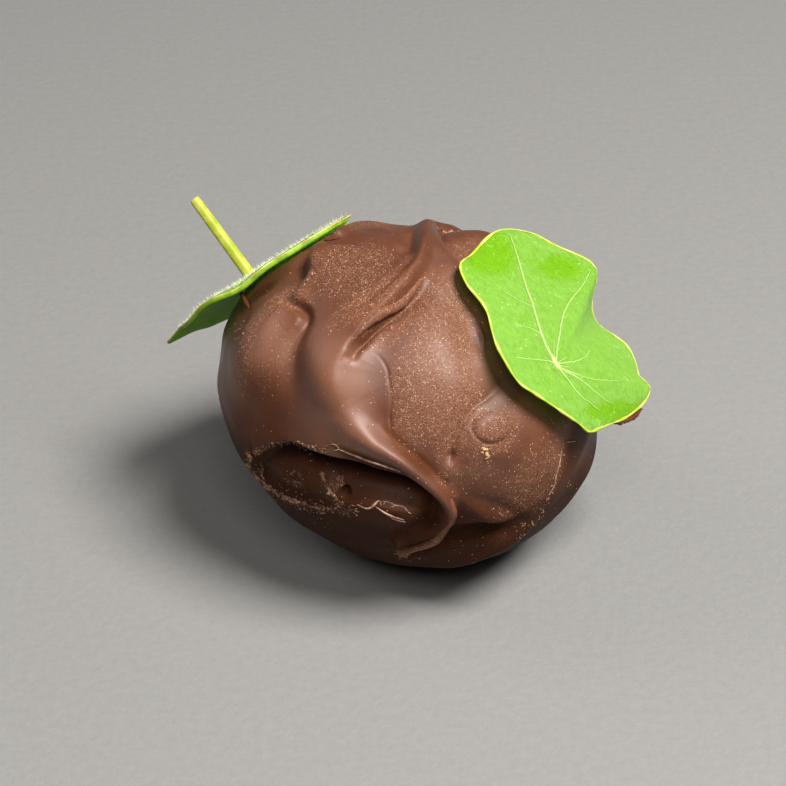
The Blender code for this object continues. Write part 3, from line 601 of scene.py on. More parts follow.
def fine_folds(relief):
    """Lips that overhang, creases, pits and the coating's gentle unevenness."""
    relief.ridge(
        seen((-13.6, -5.4), (-12.5, -4.7), (-10.8, -4.3), (-9.2, -4.9), (-7.6, -5.3), (-6.0, -5.5),
             (-4.4, -6.2), (-2.8, -6.4), (-1.3, -6.8), (0.1, -7.3), (1.2, -8.0), (2.1, -8.8),
             (2.7, -9.6))[::-1],
        height=[0.1, 0.15, 0.2, 0.2, 0.25, 0.3, 0.3, 0.25, 0.2, 0.15, 0.1, 0.1, 0],
        left=0.5,
        right=0.8,
        lean=[0.1, 0.3, 0.5, 0.6, 0.6, 0.6, 0.6, 0.5, 0.4, 0.3, 0.2, 0.1, 0],
    )
    relief.ridge(
        seen((1.0, 10.3), (-0.2, 9.4), (-1.4, 8.5), (-2.8, 7.3), (-4.0, 6.2), (-4.9, 5.1), (-5.4, 4.1)),
        height=[0, 0.05, 0.08, 0.1, 0.1, 0.1, 0.05],
        left=0.7,
        right=1.0,
        lean=[0, 0.15, 0.25, 0.35, 0.4, 0.4, 0.2],
    )
    relief.ridge(
        seen((-3.5, 4.1), (-2.7, 3.6), (-2.0, 2.5), (-1.75, 1.0), (-1.6, -0.4), (-1.75, -1.8), (-1.6, -3.0),
             (-1.4, -4.0)),
        height=[0, -0.05, -0.08, -0.08, -0.06, -0.07, -0.07, 0],
        left=0.09,
        right=0.12,
    )
    relief.swell(seen((-2.5, -2.4)), -0.25, 0.8, 1.2)
    relief.ridge(seen((-12.2, 6.8), (-11.4, 6.2), (-10.5, 5.4)), height=[0, -0.04, 0], left=0.12)
    relief.ridge(seen((6.4, 6.6), (6.8, 5.6), (7.0, 4.5)), height=[0.05, 0.3, 0.05], left=0.22)
    relief.swell(seen((-5.9, -9.0)), -0.7, 0.3, 0.34)
    relief.swell(seen((-10.4, -7.7)), -0.3, 0.75, 0.55)
    relief.swell(seen((3.85, -5.5)), -0.3, 0.32, 0.5, turn=-15)
    relief.ridge(
        seen((8.9, 1.4), (7.9, 0.4), (6.9, -0.4), (5.8, -1.2), (4.9, -2.5), (4.35, -3.7), (3.95, -4.7),
             (3.85, -5.4)),
        height=[0, -0.04, -0.1, -0.16, -0.22, -0.26, -0.28, -0.2],
        left=0.16,
        right=0.45,
    )
    relief.ridge(
        seen((6.5, -1.6), (5.8, -2.1), (5.6, -2.9), (5.9, -3.6), (6.7, -4.1), (7.6, -4.1), (8.4, -3.7),
             (9.0, -3.0)),
        height=[0, -0.1, -0.16, -0.18, -0.18, -0.14, -0.08, 0],
        left=0.14,
        right=0.12,
    )
    relief.swell(seen((-4.9, -7.3)), -0.3, 0.9, 0.4, turn=-10)
    relief.ridge(
        seen((-6.4, -3.4), (-5.2, -4.0), (-4.0, -4.7), (-2.8, -5.3), (-1.6, -5.9), (-0.5, -6.5), (0.5, -7.1)),
        height=[0, 0.25, 0.45, 0.5, 0.4, 0.2, 0],
        left=1.3,
        right=0.9,
    )
    relief.ridge(
        seen((-5.2, 5.2), (-5.9, 4.2), (-6.3, 3.0), (-6.45, 1.6), (-6.2, 0.2), (-5.5, -1.2)),
        height=[0, 0.2, 0.28, 0.25, 0.15, 0],
        left=0.9,
        right=1.7,
    )
    relief.swell(seen((-1.0, -13.2)), 0.45, 0.6, 0.5)
    chance = np.random.default_rng(5)
    for length, size in ((9.0, 0.05), (5.0, 0.03), (2.6, 0.014)):
        for _ in range(8):
            way = unit(chance.normal(size=3)) * 2 * math.pi / length
            relief.rise += size * np.sin(relief.places @ way + chance.uniform(0, 2 * math.pi)) / 2


def coating(places, softness=0.0):
    """The chocolate's surface, in millimetres from the ball's middle, over these places on the smooth ball."""
    relief = Relief(places, softness)
    for folds in (swoop, hook_groove, top_folds, left_folds, hollow, right_folds, foot, back_folds, fine_folds):
        folds(relief)
    relief.swell(on_ball(RIGHT_LEAF.middle[None]), 1.0, 3.2, 2.6)
    points = relief.shape()
    for leaf in (RIGHT_LEAF, LEFT_LEAF):
        points = leaf.press(points)
    points[:, 2] = points[:, 2].clip(-BALL_HEIGHT)
    return points


def on_sheet(points):
    """Where the eye sees points, as (across, up) marks."""
    flat = points @ SHEET.T
    return flat[:, :2] * (EYE_DISTANCE / (EYE_DISTANCE - flat[:, 2:]))


def coated(marks):
    """The places on the smooth ball whose coating the eye sees at these marks, and that coating."""
    aim = np.array(marks, float)
    for _ in range(4):
        places = seen(*aim)
        points = coating(places)
        aim += marks - on_sheet(points)
    return places, points


def metres(points):
    """Millimetres from the ball's middle as metres from the floor under it."""
    return (points + np.array([0, 0, BALL_HEIGHT])) * MM


class Value:
    """A number that a material works out over the surface, used in sums like any number."""

    def __init__(self, finish, socket):
        self.finish, self.socket = finish, socket

    def sum(self, operation, first, second=0.0):
        """One step of a sum."""
        return self.finish.node("ShaderNodeMath", {"operation": operation}, {0: first, 1: second})

    def __add__(self, other):
        return self.sum("ADD", self, other)

    __radd__ = __add__

    def __sub__(self, other):
        return self.sum("SUBTRACT", self, other)

    def __rsub__(self, other):
        return self.sum("SUBTRACT", other, self)

    def __mul__(self, other):
        return self.sum("MULTIPLY", self, other)

    __rmul__ = __mul__

    def __lt__(self, other):
        return self.sum("LESS_THAN", self, other)

    def between(self, low, high):
        """0 below low and 1 above high, and smooth from one to the other."""
        return self.finish.node(
            "ShaderNodeMapRange",
            {"interpolation_type": "SMOOTHSTEP"},
            {"Value": self, "From Min": low, "From Max": high},
        )


class Finish:
    """One material and the nodes it is made of."""

    def __init__(self, name, **constants):
        self.material = bpy.data.materials.new(name)
        self.material.use_nodes = True
        self.nodes = self.material.node_tree.nodes
        self.shader = self.nodes["Principled BSDF"]
        self.feed(self.shader, {key.replace("_", " "): value for key, value in constants.items()})
        self.here = self.node("ShaderNodeTexCoord", {}, {}, "Object")

    def feed(self, node, inputs):
        """Numbers set on a node's sockets, or sockets linked to them."""
        for key, value in inputs.items():
            if isinstance(value, Value):
                self.material.node_tree.links.new(value.socket, node.inputs[key])
            else:
                node.inputs[key].default_value = value

    def node(self, kind, settings, inputs, output=0):
        """A node with its settings made first, and then the values or links of its sockets."""
        made = self.nodes.new(kind)
        for key, value in settings.items():
            setattr(made, key, value)
        self.feed(made, inputs)
        return Value(self, made.outputs[output])

    def noise(self, size, detail=2.0, rough=0.5, twist=0.0):
        """Clouds of noise about size millimetres across, near 0.5."""
        return self.node("ShaderNodeTexNoise", {}, {
            "Vector": self.here, "Scale": 1000 / size, "Detail": detail, "Roughness": rough,
            "Distortion": twist})

    def specks(self, size, share, radius=0.3):
        """Dots that fill a share of the cells, size millimetres apart."""
        inputs = {"Vector": self.here, "Scale": 1000 / size}
        near = self.node("ShaderNodeTexVoronoi", {}, inputs)
        chance = self.node("ShaderNodeSeparateColor", {}, {
            "Color": self.node("ShaderNodeTexVoronoi", {}, inputs, "Color")})
        return (1 - near.between(radius * 0.6, radius)) * (chance < share)

    def painted(self, name):
        """A number stored on the mesh."""
        return self.node("ShaderNodeAttribute", {"attribute_name": name}, {}, "Fac")

    def mix(self, share, first, second):
        """Two colours mixed."""
        return self.node("ShaderNodeMix", {"data_type": "RGBA"}, {
            0: share,
            6: first if isinstance(first, Value) else (*first, 1),
            7: second if isinstance(second, Value) else (*second, 1)}, 2)

    def bump(self, height, depth):
        """The surface tilted as if height stood depth millimetres proud."""
        return self.node("ShaderNodeBump", {}, {"Height": height, "Distance": depth * MM, "Strength": 1.0})

    def wear(self, **varying):
        """The shader's sockets that vary, and the finished material."""
        self.feed(self.shader, {key.replace("_", " "): value for key, value in varying.items()})
        return self.material


def chocolate_finish():
    """The coating: brown in soft blotches, dusty and glinting where grainy, with painted light and painted
    shade.
    """
    finish = Finish("chocolate_coating", Specular_IOR_Level=0.16, Specular_Tint=(1.0, 0.62, 0.47, 1.0),
                    Coat_Roughness=0.52)
    grain, shade = finish.painted("grain"), finish.painted("shade")
    dusty = (grain + 1.0 * (finish.noise(2.6, 4, 0.65) - 0.5)).between(0.05, 0.95)
    blotches = finish.noise(5.0, 3, 0.55).between(0.3, 0.7)
    brown = finish.mix(blotches, (0.080, 0.0235, 0.0090), (0.112, 0.0345, 0.0140))
    # Painted light: smooth places where light falls are painted paler.
    brown = finish.mix(finish.painted("pale"), brown, (0.225, 0.092, 0.050))
    brown = finish.mix(dusty * 0.55, brown, (0.200, 0.076, 0.038))
    # Painted shade: sunk places, undersides and shaded spots are painted near black.
    brown = finish.mix(shade * 0.92, brown, (0.018, 0.0052, 0.0020))
    # Painted shade in the pores between the grains, which also sink in the bump.
    shaded_pores = finish.noise(0.19, 3, 0.8).between(0.50, 0.62)
    brown = finish.mix(shaded_pores * 0.55 * dusty, brown, (0.050, 0.0150, 0.0062))
    sand = finish.noise(0.14, 2, 0.8).between(0.47, 0.66)
    brown = finish.mix(sand * (0.05 + 0.40 * dusty), brown, (0.40, 0.185, 0.105))
    glints = finish.specks(0.17, dusty * 0.42 + 0.015, 0.38) + finish.specks(0.11, dusty * 0.45, 0.40)
    sparks = finish.noise(0.5, 2, 0.6).between(0.42, 0.62)
    brown = finish.mix(glints.between(0.1, 0.9) * (0.2 + 0.6 * sparks), brown, (0.70, 0.42, 0.28))
    height = (sand + finish.noise(0.3, 3, 0.7) - 0.7 * shaded_pores) * (0.10 + dusty) + glints * (0.2 + 0.5 * dusty)
    rough = 0.48 + 0.10 * dusty + 0.2 * shade + 0.08 * (finish.noise(2.2, 3) - 0.5)
    return finish.wear(
        Base_Color=brown,
        Roughness=rough,
        Coat_Weight=finish.painted("gloss") * (1 - 0.45 * dusty),
        Normal=finish.bump(height, 0.032),
    )


def crumb_finish():
    """Loose crumbs, each of its own brown."""
    finish = Finish("chocolate_crumbs", Roughness=0.6)
    tone = finish.noise(0.8, 2).between(0.35, 0.65)
    return finish.wear(
        Base_Color=finish.mix(tone, (0.075, 0.026, 0.012), (0.33, 0.18, 0.108)),
        Normal=finish.bump(finish.noise(0.1, 2), 0.02),
    )


def flake_finish():
    """Torn threads of the coat, in browns that wander in soft noise from dark to pale."""
    finish = Finish("chocolate_flakes", Roughness=0.5)
    tone = finish.noise(0.5, 2).between(0.3, 0.7)
    return finish.wear(
        Base_Color=finish.mix(tone, (0.16, 0.07, 0.04), (0.50, 0.33, 0.23)),
        Normal=finish.bump(finish.noise(0.12, 2), 0.02),
    )


def leaf_finish(name, deep, pale, flecks):
    """A leaf's blade: deep green where the mesh says so, paler and netted with tiny veins elsewhere."""
    finish = Finish(name, Specular_IOR_Level=0.2, Subsurface_Weight=0.7, Subsurface_Radius=(0.6, 1.0, 0.10),
                    Subsurface_Scale=0.0012)
    lush = (finish.painted("lush") + 0.7 * (finish.noise(1.8, 4, 0.65) - 0.5)).between(0.2, 0.7)
    net = 1 - finish.node("ShaderNodeTexVoronoi", {"feature": "DISTANCE_TO_EDGE"}, {
        "Vector": finish.here, "Scale": 1000 / 0.8}).between(0.02, 0.12)
    green = finish.mix(lush, pale, deep)
    green = finish.mix(finish.noise(0.7, 4, 0.7).between(0.35, 0.75) * 0.45, green, [0.75 * v for v in deep])
    blotches = finish.noise(2.4, 5, 0.7, 0.8).between(0.54, 0.68)
    green = finish.mix(blotches * 0.5, green, [0.8 * deep[0], 0.85 * deep[1], deep[2]])
    smears = finish.noise(1.3, 5, 0.75, 1.8).between(0.55, 0.74)
    green = finish.mix(smears * 0.3, green, (0.40, 0.62, 0.24))
    green = finish.mix(net * smears * 0.16 + 0.4 * finish.specks(0.5, flecks, 0.26), green, (0.46, 0.64, 0.30))
    height = finish.noise(0.5, 3) - 0.35 * net
    return finish.wear(
        Base_Color=green,
        Roughness=0.46 + 0.12 * finish.noise(1.5, 2),
        Normal=finish.bump(height, 0.05),
    )


def vein_finish(name, low, high):
    """Veins, rims, hairs and the stalk, in soft bands from one green to another."""
    finish = Finish(name, Roughness=0.5, Specular_IOR_Level=0.25)
    return finish.wear(
        Base_Color=finish.mix(finish.noise(1.1, 3).between(0.35, 0.65), low, high),
        Normal=finish.bump(finish.noise(0.2, 2), 0.02),
    )


def floor_finish():
    """A plain pale floor with a faint fibre."""
    finish = Finish("pale_floor", Roughness=0.75)
    fibre = finish.noise(0.9, 4, 0.7)
    return finish.wear(
        Base_Color=finish.mix(fibre, (0.180, 0.177, 0.171), (0.225, 0.222, 0.216)),
        Normal=finish.bump(fibre, 0.08),
    )


def piece(mesh, node, finish, smooth=True):
    """A finished piece, named as its mesh, that rides on the sweet and stands for one of its solids."""
    if smooth:
        mesh.shade_smooth()
    mesh.materials.append(finish)
    made = bpy.data.objects.new(mesh.name, mesh)
    bpy.context.scene.collection.objects.link(made)
    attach(made, "root")
    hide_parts(node)


def mesh_of(name, points, faces):
    """A mesh from millimetre points."""
    mesh = bpy.data.meshes.new(name)
    mesh.from_pydata(metres(np.asarray(points)).tolist(), [], faces)
    return mesh


def paint(mesh, name, values):
    """A number stored at each of the mesh's points."""
    mesh.attributes.new(name, "FLOAT", "POINT").data.foreach_set("value", np.asarray(values, np.float32))


def patch(places, middle, across, up, turn=0.0):
    """A soft-edged area on the ball, from 0 to 1."""
    relief = Relief(places, 0.0)
    relief.swell(middle, 1.0, across, up, turn, power=4)
    return relief.rise


def patches(places, *rows):
    """The deepest of several patches, each given as its depth, (across, up) mark, half-widths and turn."""
    depths = [depth * patch(places, seen(mark), across, up, turn) for depth, mark, across, up, turn in rows]
    return np.max(depths, axis=0)


def grain(places):
    """Where the coating is dull and grainy: 1 there, 0 where it set smooth."""
    shown = patches(
        places,
        (0.85, (-5.0, 11.5), 4.4, 3.6, 20),
        (0.9, (-3.4, 9.0), 4.0, 1.6, 45),
        (0.9, (-1.5, 6.8), 3.4, 1.8, 45),
        (1.0, (3.0, 5.5), 3.2, 6.0, -12),
        (1.0, (3.6, 0.0), 3.0, 5.0, 0),
        (1.0, (0.6, 0.0), 2.1, 4.6, 4),
        (1.0, (7.6, -3.2), 2.3, 2.0, 0),
        (0.7, (11.5, -7.5), 3.2, 5.0, -30),
        (0.45, (5.5, -6.5), 3.0, 2.0, 0),
        (0.8, (7.0, 12.5), 4.0, 3.0, -30),
        (0.9, (-11.2, 8.6), 2.8, 1.6, 30),
        (0.9, (-14.5, 4.0), 1.6, 4.0, -10),
        (0.3, (-12.6, 4.5), 3.0, 3.4, 0),
    )
    hidden = [
        patch(places, around(bearing), size, size * 0.8, 30)
        for bearing, size in (((140, 20), 6.0), ((200, 45), 6.0), ((235, 0), 5.0), ((175, -20), 4.0))
    ]
    return np.max([shown, *hidden], axis=0)


def shade(places):
    """Painted shade, darker and duller: 1 in sunk places, on undersides and in listed spots, 0 on the open
    sides.
    """
    relief = Relief(places, 0.0)
    hollow(relief)
    foot(relief)
    # Painted shade in sunk places and on the sides that face the floor.
    sunk = (-relief.rise - 0.2) / 1.6
    down = (0.2 - relief.normals[:, 2]) / 0.5
    # Listed spots of painted shade, among them the leaves' painted shadows on the coat.
    spots = patches(
        places,
        (0.6, (15.4, -5.0), 2.6, 6.0, -12),
        (0.9, (0.5, -13.0), 4.0, 1.8, 10),
        (1.0, (-0.6, -12.5), 2.4, 1.2, 0),
        (0.2, (10.5, -5.5), 3.5, 3.0, 0),
        (1.0, (1.4, -11.4), 2.0, 1.6, 30),
        (0.35, (8.4, 0.3), 2.2, 1.7, 40),
        (0.7, (-3.3, -5.65), 3.6, 0.5, -20),
        (0.3, (0.0, -5.0), 4.0, 0.55, -43),
        (0.8, (2.0, -10.4), 1.6, 0.7, -50),
        (0.4, (-12.6, 10.4), 2.6, 1.4, 40),
        (0.42, (-5.2, 11.5), 4.6, 3.4, 25),
        (0.75, (-13.4, 9.5), 2.2, 1.0, 35),
    )
    return np.max([sunk, down, spots], axis=0).clip(0, 1)


def matt(places):
    """Low places on the open sides that set without a shine, from 0 to 1."""
    return patches(
        places,
        (0.9, (-13.6, -2.0), 4.2, 5.5, 10),
        (0.6, (13.5, -6.0), 3.6, 6.0, -12),
        (0.7, (-2.4, 8.0), 4.6, 2.2, 42),
        (0.5, (-10.2, 6.6), 1.5, 1.6, 0),
        (0.3, (-7.6, -3.6), 4.0, 1.5, -12),
        (0.85, (0.1, -5.0), 4.0, 0.5, -43),
    )


def pale(places):
    """Painted light: smooth places painted paler where light falls on them, from 0 to 1."""
    return patches(
        places,
        (0.6, (-6.2, -3.2), 3.6, 2.0, -20),
        (0.85, (-12.9, 5.2), 2.8, 3.0, 0),
        (0.5, (-6.0, 1.5), 2.4, 4.0, 20),
        (0.15, (-4.0, 2.2), 1.8, 2.4, 0),
        (0.6, (3.4, 1.8), 3.2, 4.4, 0),
    )


def add_bonbon(coat):
    """The ball with its coating."""
    ball, ways = cube_ball(BALL_CELLS, BALL_FRONT_SHARE)
    places = on_ball(ways)
    for vertex, point in zip(ball.verts, metres(coating(places))):
        vertex.co = point
    mesh = bpy.data.meshes.new("bonbon_coating")
    ball.to_mesh(mesh)
    ball.free()
    paint(mesh, "grain", grain(places))
    # Painted shade and painted light, stored on the mesh for the coating's colour.
    dark = shade(places)
    paint(mesh, "shade", dark)
    paint(mesh, "gloss", (1 - 1.5 * dark - matt(places)).clip(0, 1))
    paint(mesh, "pale", pale(places))
    piece(mesh, "bonbon", coat)


def lumps(name, centres, sizes, chance):
    """Small uneven lumps in one mesh."""
    solid = bmesh.new()
    bmesh.ops.create_icosphere(solid, subdivisions=1, radius=1.0)
    ball = np.array([v.co for v in solid.verts])
    cells = np.array([[v.index for v in face.verts] for face in solid.faces])
    solid.free()
    points, faces = [], []
    for count, (centre, size) in enumerate(zip(centres, sizes)):
        turn = np.linalg.qr(chance.normal(size=(3, 3)))[0]
        stretch = chance.uniform(0.6, 1.25, 3)
        rough = 1 + 0.22 * chance.normal(size=(len(ball), 1))
        points.append(centre + size * (ball * rough * stretch) @ turn)
        faces.append(cells + count * len(ball))
    return mesh_of(name, np.concatenate(points), np.concatenate(faces).tolist())


def add_crumbs():
    """Crumbs that broke off the setting coat: bands of them round the hollow, and strays elsewhere. Each band
    has its line, how many crumbs lie along it, how far they spread from it, and their size."""
    chance = np.random.default_rng(11)
    marks, sizes = [], []
    bands = (
        (((-14.3, -5.3), (-14.0, -6.7), (-12.9, -8.0), (-11.2, -9.0), (-9.4, -9.8), (-7.6, -10.2)), 760, 0.32,
         0.092),
        (((3.2, -12.3), (2.0, -13.1), (0.5, -13.7), (-0.9, -14.0)), 80, 0.12, 0.11),
        (((-7.6, -10.1), (-6.0, -10.3), (-4.4, -10.4)), 110, 0.3, 0.1),
        (((-14.2, -5.2), (-13.4, -4.9), (-12.3, -4.5), (-10.7, -4.2), (-9.2, -4.7), (-7.6, -5.0)), 380, 0.14,
         0.09),
        (((-10.9, -7.0), (-10.4, -6.8), (-9.8, -7.4), (-10.3, -8.0), (-10.9, -7.6)), 100, 0.16, 0.085),
        (((-7.8, -6.9), (-7.4, -8.2), (-6.6, -9.4)), 110, 0.13, 0.085),
        (((-6.7, -7.4), (-6.0, -7.2), (-6.2, -8.0), (-6.7, -8.4)), 90, 0.16, 0.085),
        (((-6.6, -9.6), (-6.1, -10.2), (-5.4, -10.7)), 40, 0.16, 0.11),
        (((-1.3, -14.1), (-0.6, -14.35), (0.3, -14.1)), 22, 0.1, 0.13),
        (((2.0, 16.0), (3.4, 16.1), (4.8, 16.0)), 50, 0.14, 0.14),
        (((14.2, -7.6), (15.2, -8.2), (15.6, -9.0)), 30, 0.3, 0.06),
        (((13.9, -5.0), (13.4, -7.0), (13.2, -8.4), (12.4, -9.8), (11.8, -11.2), (10.6, -12.0), (9.9, -13.2)),
         150, 0.12, 0.07),
        (((-15.0, 4.2), (-15.6, 5.8), (-15.0, 7.0)), 30, 0.3, 0.1),
        (((2.0, -15.2), (7.0, -14.0), (12.0, -11.6)), 24, 0.4, 0.06),
        (((-9.0, 12.9), (-8.9, 11.0), (-10.6, 9.2)), 50, 0.25, 0.1),
    )
    for line, count, spread, size in bands:
        curve = smooth_line(np.array(line), 0.1)
        chosen = curve[chance.integers(len(curve), size=count)]
        marks.append(chosen + chance.normal(scale=spread, size=(count, 2)))
        sizes.append(size * chance.lognormal(-0.5, 0.45, count))
    angle = chance.uniform(0, 2 * math.pi, STRAY_CRUMBS)
    reach = 15.5 * np.sqrt(chance.uniform(0, 1, STRAY_CRUMBS))
    marks.append(reach[:, None] * steps_round(angle) * (1.0, 0.9))
    sizes.append(chance.uniform(0.03, 0.075, STRAY_CRUMBS))
    _, points = coated(np.concatenate(marks))
    mesh = lumps("bonbon_crumbs", points, np.concatenate(sizes), chance)
    piece(mesh, "bonbon", crumb_finish(), smooth=False)


def tube(points, radii, sides=6, flat=1.0, normals=None):
    """The points and faces of a tube along a line, with closed ends. flat is its thickness along the normals,
    as a share of its width."""
    points = np.asarray(points)
    runs = unit(np.gradient(points, axis=0))
    if normals is None:
        normals = np.tile(TOWARDS, (len(points), 1))
    east = unit(np.cross(runs, normals))
    north = np.cross(east, runs)
    turns = np.arange(sides) * 2 * math.pi / sides
    rings = points[:, None] + np.asarray(radii)[:, None, None] * (
        np.cos(turns)[None, :, None] * east[:, None] + flat * np.sin(turns)[None, :, None] * north[:, None])
    made = [tuple(reversed(range(sides)))]
    for ring in range(len(points) - 1):
        for k in range(sides):
            after = (k + 1) % sides
            made.append((ring * sides + k, ring * sides + after, (ring + 1) * sides + after,
                         (ring + 1) * sides + k))
    made.append(tuple((len(points) - 1) * sides + k for k in range(sides)))
    return rings.reshape(-1, 3), made


def joined(parts):
    """Several (points, faces) sets as one."""
    points, faces, count = [], [], 0
    for some, cells in parts:
        points.append(some)
        faces.extend(tuple(k + count for k in cell) for cell in cells)
        count += len(some)
    return np.concatenate(points), faces


def relaxed(points, rounds):
    """A line of points with its kinks smoothed out and its ends kept."""
    for _ in range(rounds):
        points[1:-1] = (points[:-2] + 2 * points[1:-1] + points[2:]) / 4
    return points


def tapered(count, size):
    """Radii along a strand that is thinner at its ends."""
    return size * np.interp(np.linspace(0, 1, count), [0, 0.2, 0.8, 1], [0.3, 1, 1, 0.3])


def add_strands():
    """Thin threads and torn flakes of chocolate on the coating. Each has its line, its radius and how far it
    stands proud."""
    strands = (
        (((13.9, -4.9), (13.7, -6.2), (13.35, -7.4), (13.25, -8.2), (12.7, -9.0)), 0.065, 0.03),
        (((14.3, -4.2), (15.2, -4.1)), 0.05, 0.04),
        (((-6.4, -4.8), (-5.5, -5.15), (-4.6, -5.5), (-3.7, -5.85), (-2.7, -6.15), (-1.7, -6.5), (-0.8, -6.8)),
         0.085, 0.25),
        (((-7.6, -4.6), (-7.0, -4.3), (-6.5, -4.5), (-6.3, -4.9), (-7.0, -5.0)), 0.04, 0.08),
        (((-4.6, -9.8), (-3.8, -10.2), (-3.0, -9.9), (-2.1, -9.5)), 0.11, 0.16),
        (((-3.0, -10.0), (-2.1, -10.6), (-1.3, -10.95), (-0.4, -11.2)), 0.1, 0.16),
        (((-2.1, -10.7), (-1.2, -11.2), (-0.3, -11.4)), 0.07, 0.12),
        (((-1.9, -9.7), (-0.9, -9.9), (0.3, -10.1)), 0.07, 0.1),
        (((-2.8, -10.0), (-2.0, -10.1), (-1.2, -10.3), (-0.4, -10.4)), 0.06, 0.12),
    )
    parts = []
    for line, size, proud in strands:
        places, points = coated(smooth_line(np.array(line), 0.15))
        points = relaxed(points, 5) + proud * unit(ball_normals(places) + TOWARDS)
        parts.append(tube(points, tapered(len(points), size), 6, 0.7, ball_normals(places)))
    piece(mesh_of("bonbon_strands", *joined(parts)), "bonbon", flake_finish())


def add_tan_crumb():
    """The one pale crumb, of a few lumps, under the coin-shaped scar."""
    marks = np.array([(6.75, -4.75), (7.05, -4.85), (6.7, -5.1), (7.0, -5.25), (7.2, -5.5), (6.95, -5.65)])
    _, points = coated(marks)
    chance = np.random.default_rng(17)
    mesh = lumps("bonbon_tan_crumb", points, [0.24, 0.17, 0.2, 0.26, 0.2, 0.16], chance)
    finish = Finish("tan_crumb", Roughness=0.6, Specular_IOR_Level=0.3)
    tone = finish.noise(0.3, 3, 0.7).between(0.35, 0.65)
    tan = finish.wear(
        Base_Color=finish.mix(tone, (0.30, 0.155, 0.055), (0.62, 0.42, 0.19)),
        Normal=finish.bump(finish.noise(0.1, 2), 0.03),
    )
    piece(mesh, "bonbon", tan, smooth=False)


def add_crest(coat, name, line, size, sunk, **painted):
    """A round crest laid along a ridge of the coat. Its radius, how deep it is sunk, and the values
    painted on it are each given along its length."""
    places, points = coated(smooth_line(np.array(line), 0.12))
    share = np.linspace(0, 1, len(points))
    radii = np.interp(share, *size) * (1 + 0.035 * np.sin(23 * share) + 0.03 * np.sin(61 * share + 1))
    normals = ball_normals(places)
    points = relaxed(points, 6) - np.interp(share, *sunk)[:, None] * normals
    mesh = mesh_of(name, *tube(points, radii, CREST_SIDES, 1.0, normals))
    for key, values in painted.items():
        paint(mesh, key, np.repeat(np.interp(share, *values), CREST_SIDES))
    piece(mesh, "bonbon", coat)


def add_crests(coat):
    """The crest that runs down to close the hollow, with a bead at its end, and the one over the groove."""
    add_crest(
        coat,
        "bonbon_hook",
        ((3.2, -9.4), (3.7, -10.1), (3.9, -10.9), (3.6, -11.7), (2.8, -12.4), (1.8, -12.95), (0.7, -13.45),
         (-0.2, -13.75), (-1.0, -13.9)),
        size=([0, 0.25, 0.6, 0.85, 0.9, 0.96, 0.985, 1], [0.3, 0.58, 0.58, 0.54, 0.66, 0.66, 0.5, 0.2]),
        sunk=([0, 0.2, 0.45, 1], [1.0, 0.48, -0.05, -0.3]),
        grain=([0.0, 0.5], [0, 0.8]),
        gloss=([0.0, 0.5], [0.7, 0.4]),
        # Painted light: the lower run and bead, which lie in shade under the overhang, are painted paler.
        pale=([0.2, 0.5], [0.1, 0.6]),
    )
    add_crest(
        coat,
        "bonbon_crest",
        ((1.7, 11.3), (0.7, 10.5), (-0.5, 9.6), (-1.7, 8.7), (-2.8, 7.8), (-3.9, 6.8), (-4.8, 5.7),
         (-5.3, 4.8)),
        size=([0, 0.3, 0.6, 0.8, 1], [0.25, 0.5, 0.52, 0.36, 0.1]),
        sunk=([0, 0.3, 0.6, 1], [0.36, 0.36, 0.3, 0.14]),
        grain=([0.5, 0.9], [1.0, 0.4]),
        gloss=([0, 1], [0.3, 0.6]),
        # Painted light: the crest's start is painted paler.
        pale=([0.2, 0.55], [0.5, 0.0]),
    )


def blade(leaf, rings, spokes):
    """The flat places and faces of a leaf's sheet of rings and spokes."""
    rim = leaf.rim(np.arange(spokes) * 2 * math.pi / spokes)
    shares = (np.arange(rings) + 1) / rings
    flat = np.concatenate([[[0.0, 0.0]], *(share * rim for share in shares)])
    faces = [(0, 1 + k, 1 + (k + 1) % spokes) for k in range(spokes)]
    for ring in range(rings - 1):
        inner, outer = 1 + ring * spokes, 1 + (ring + 1) * spokes
        for k in range(spokes):
            after = (k + 1) % spokes
            faces.append((inner + k, outer + k, outer + after, inner + after))
    return flat, faces


def add_blade(name, node, leaf, outer, inner, lush):
    """A leaf's blade with its outer and inner face, thin at the rim."""
    flat, faces = blade(leaf, LEAF_RINGS, LEAF_SPOKES)
    middle = leaf.place(flat)
    share = np.hypot(*flat.T) / leaf.edge(np.arctan2(flat[:, 1], flat[:, 0]))
    half = (0.5 * LEAF_THICKNESS * np.interp(share, [0, 0.9, 1], [1, 0.75, 0.3]))[:, None] * leaf.face
    count = len(flat)
    cells = faces + [tuple(k + count for k in reversed(face)) for face in faces]
    first = 1 + (LEAF_RINGS - 1) * LEAF_SPOKES
    for k in range(LEAF_SPOKES):
        after = (k + 1) % LEAF_SPOKES
        cells.append((first + after, first + k, first + k + count, first + after + count))
    mesh = mesh_of(name, np.concatenate([middle + half, middle - half]), cells)
    piece(mesh, node, outer)
    mesh.materials.append(inner)
    for index in range(len(faces), 2 * len(faces)):
        mesh.polygons[index].material_index = 1
    paint(mesh, "lush", np.tile(lush(flat), 2))


def add_veins(name, node, leaf, lines, finish):
    """Raised veins on a leaf's outer face, each thinner towards its tip."""
    chance = np.random.default_rng(31)
    parts = []
    for line, root, tip in lines:
        flat = smooth_line(np.array(line), 0.25)
        flat = flat + chance.normal(scale=0.022, size=flat.shape)
        radii = np.interp(np.linspace(0, 1, len(flat)), [0, 1], [root, tip])
        points = leaf.place(flat) + 0.5 * LEAF_THICKNESS * leaf.face
        parts.append(tube(points, radii, 6, 0.55, np.tile(leaf.face, (len(flat), 1))))
    piece(mesh_of(name, *joined(parts)), node, finish)


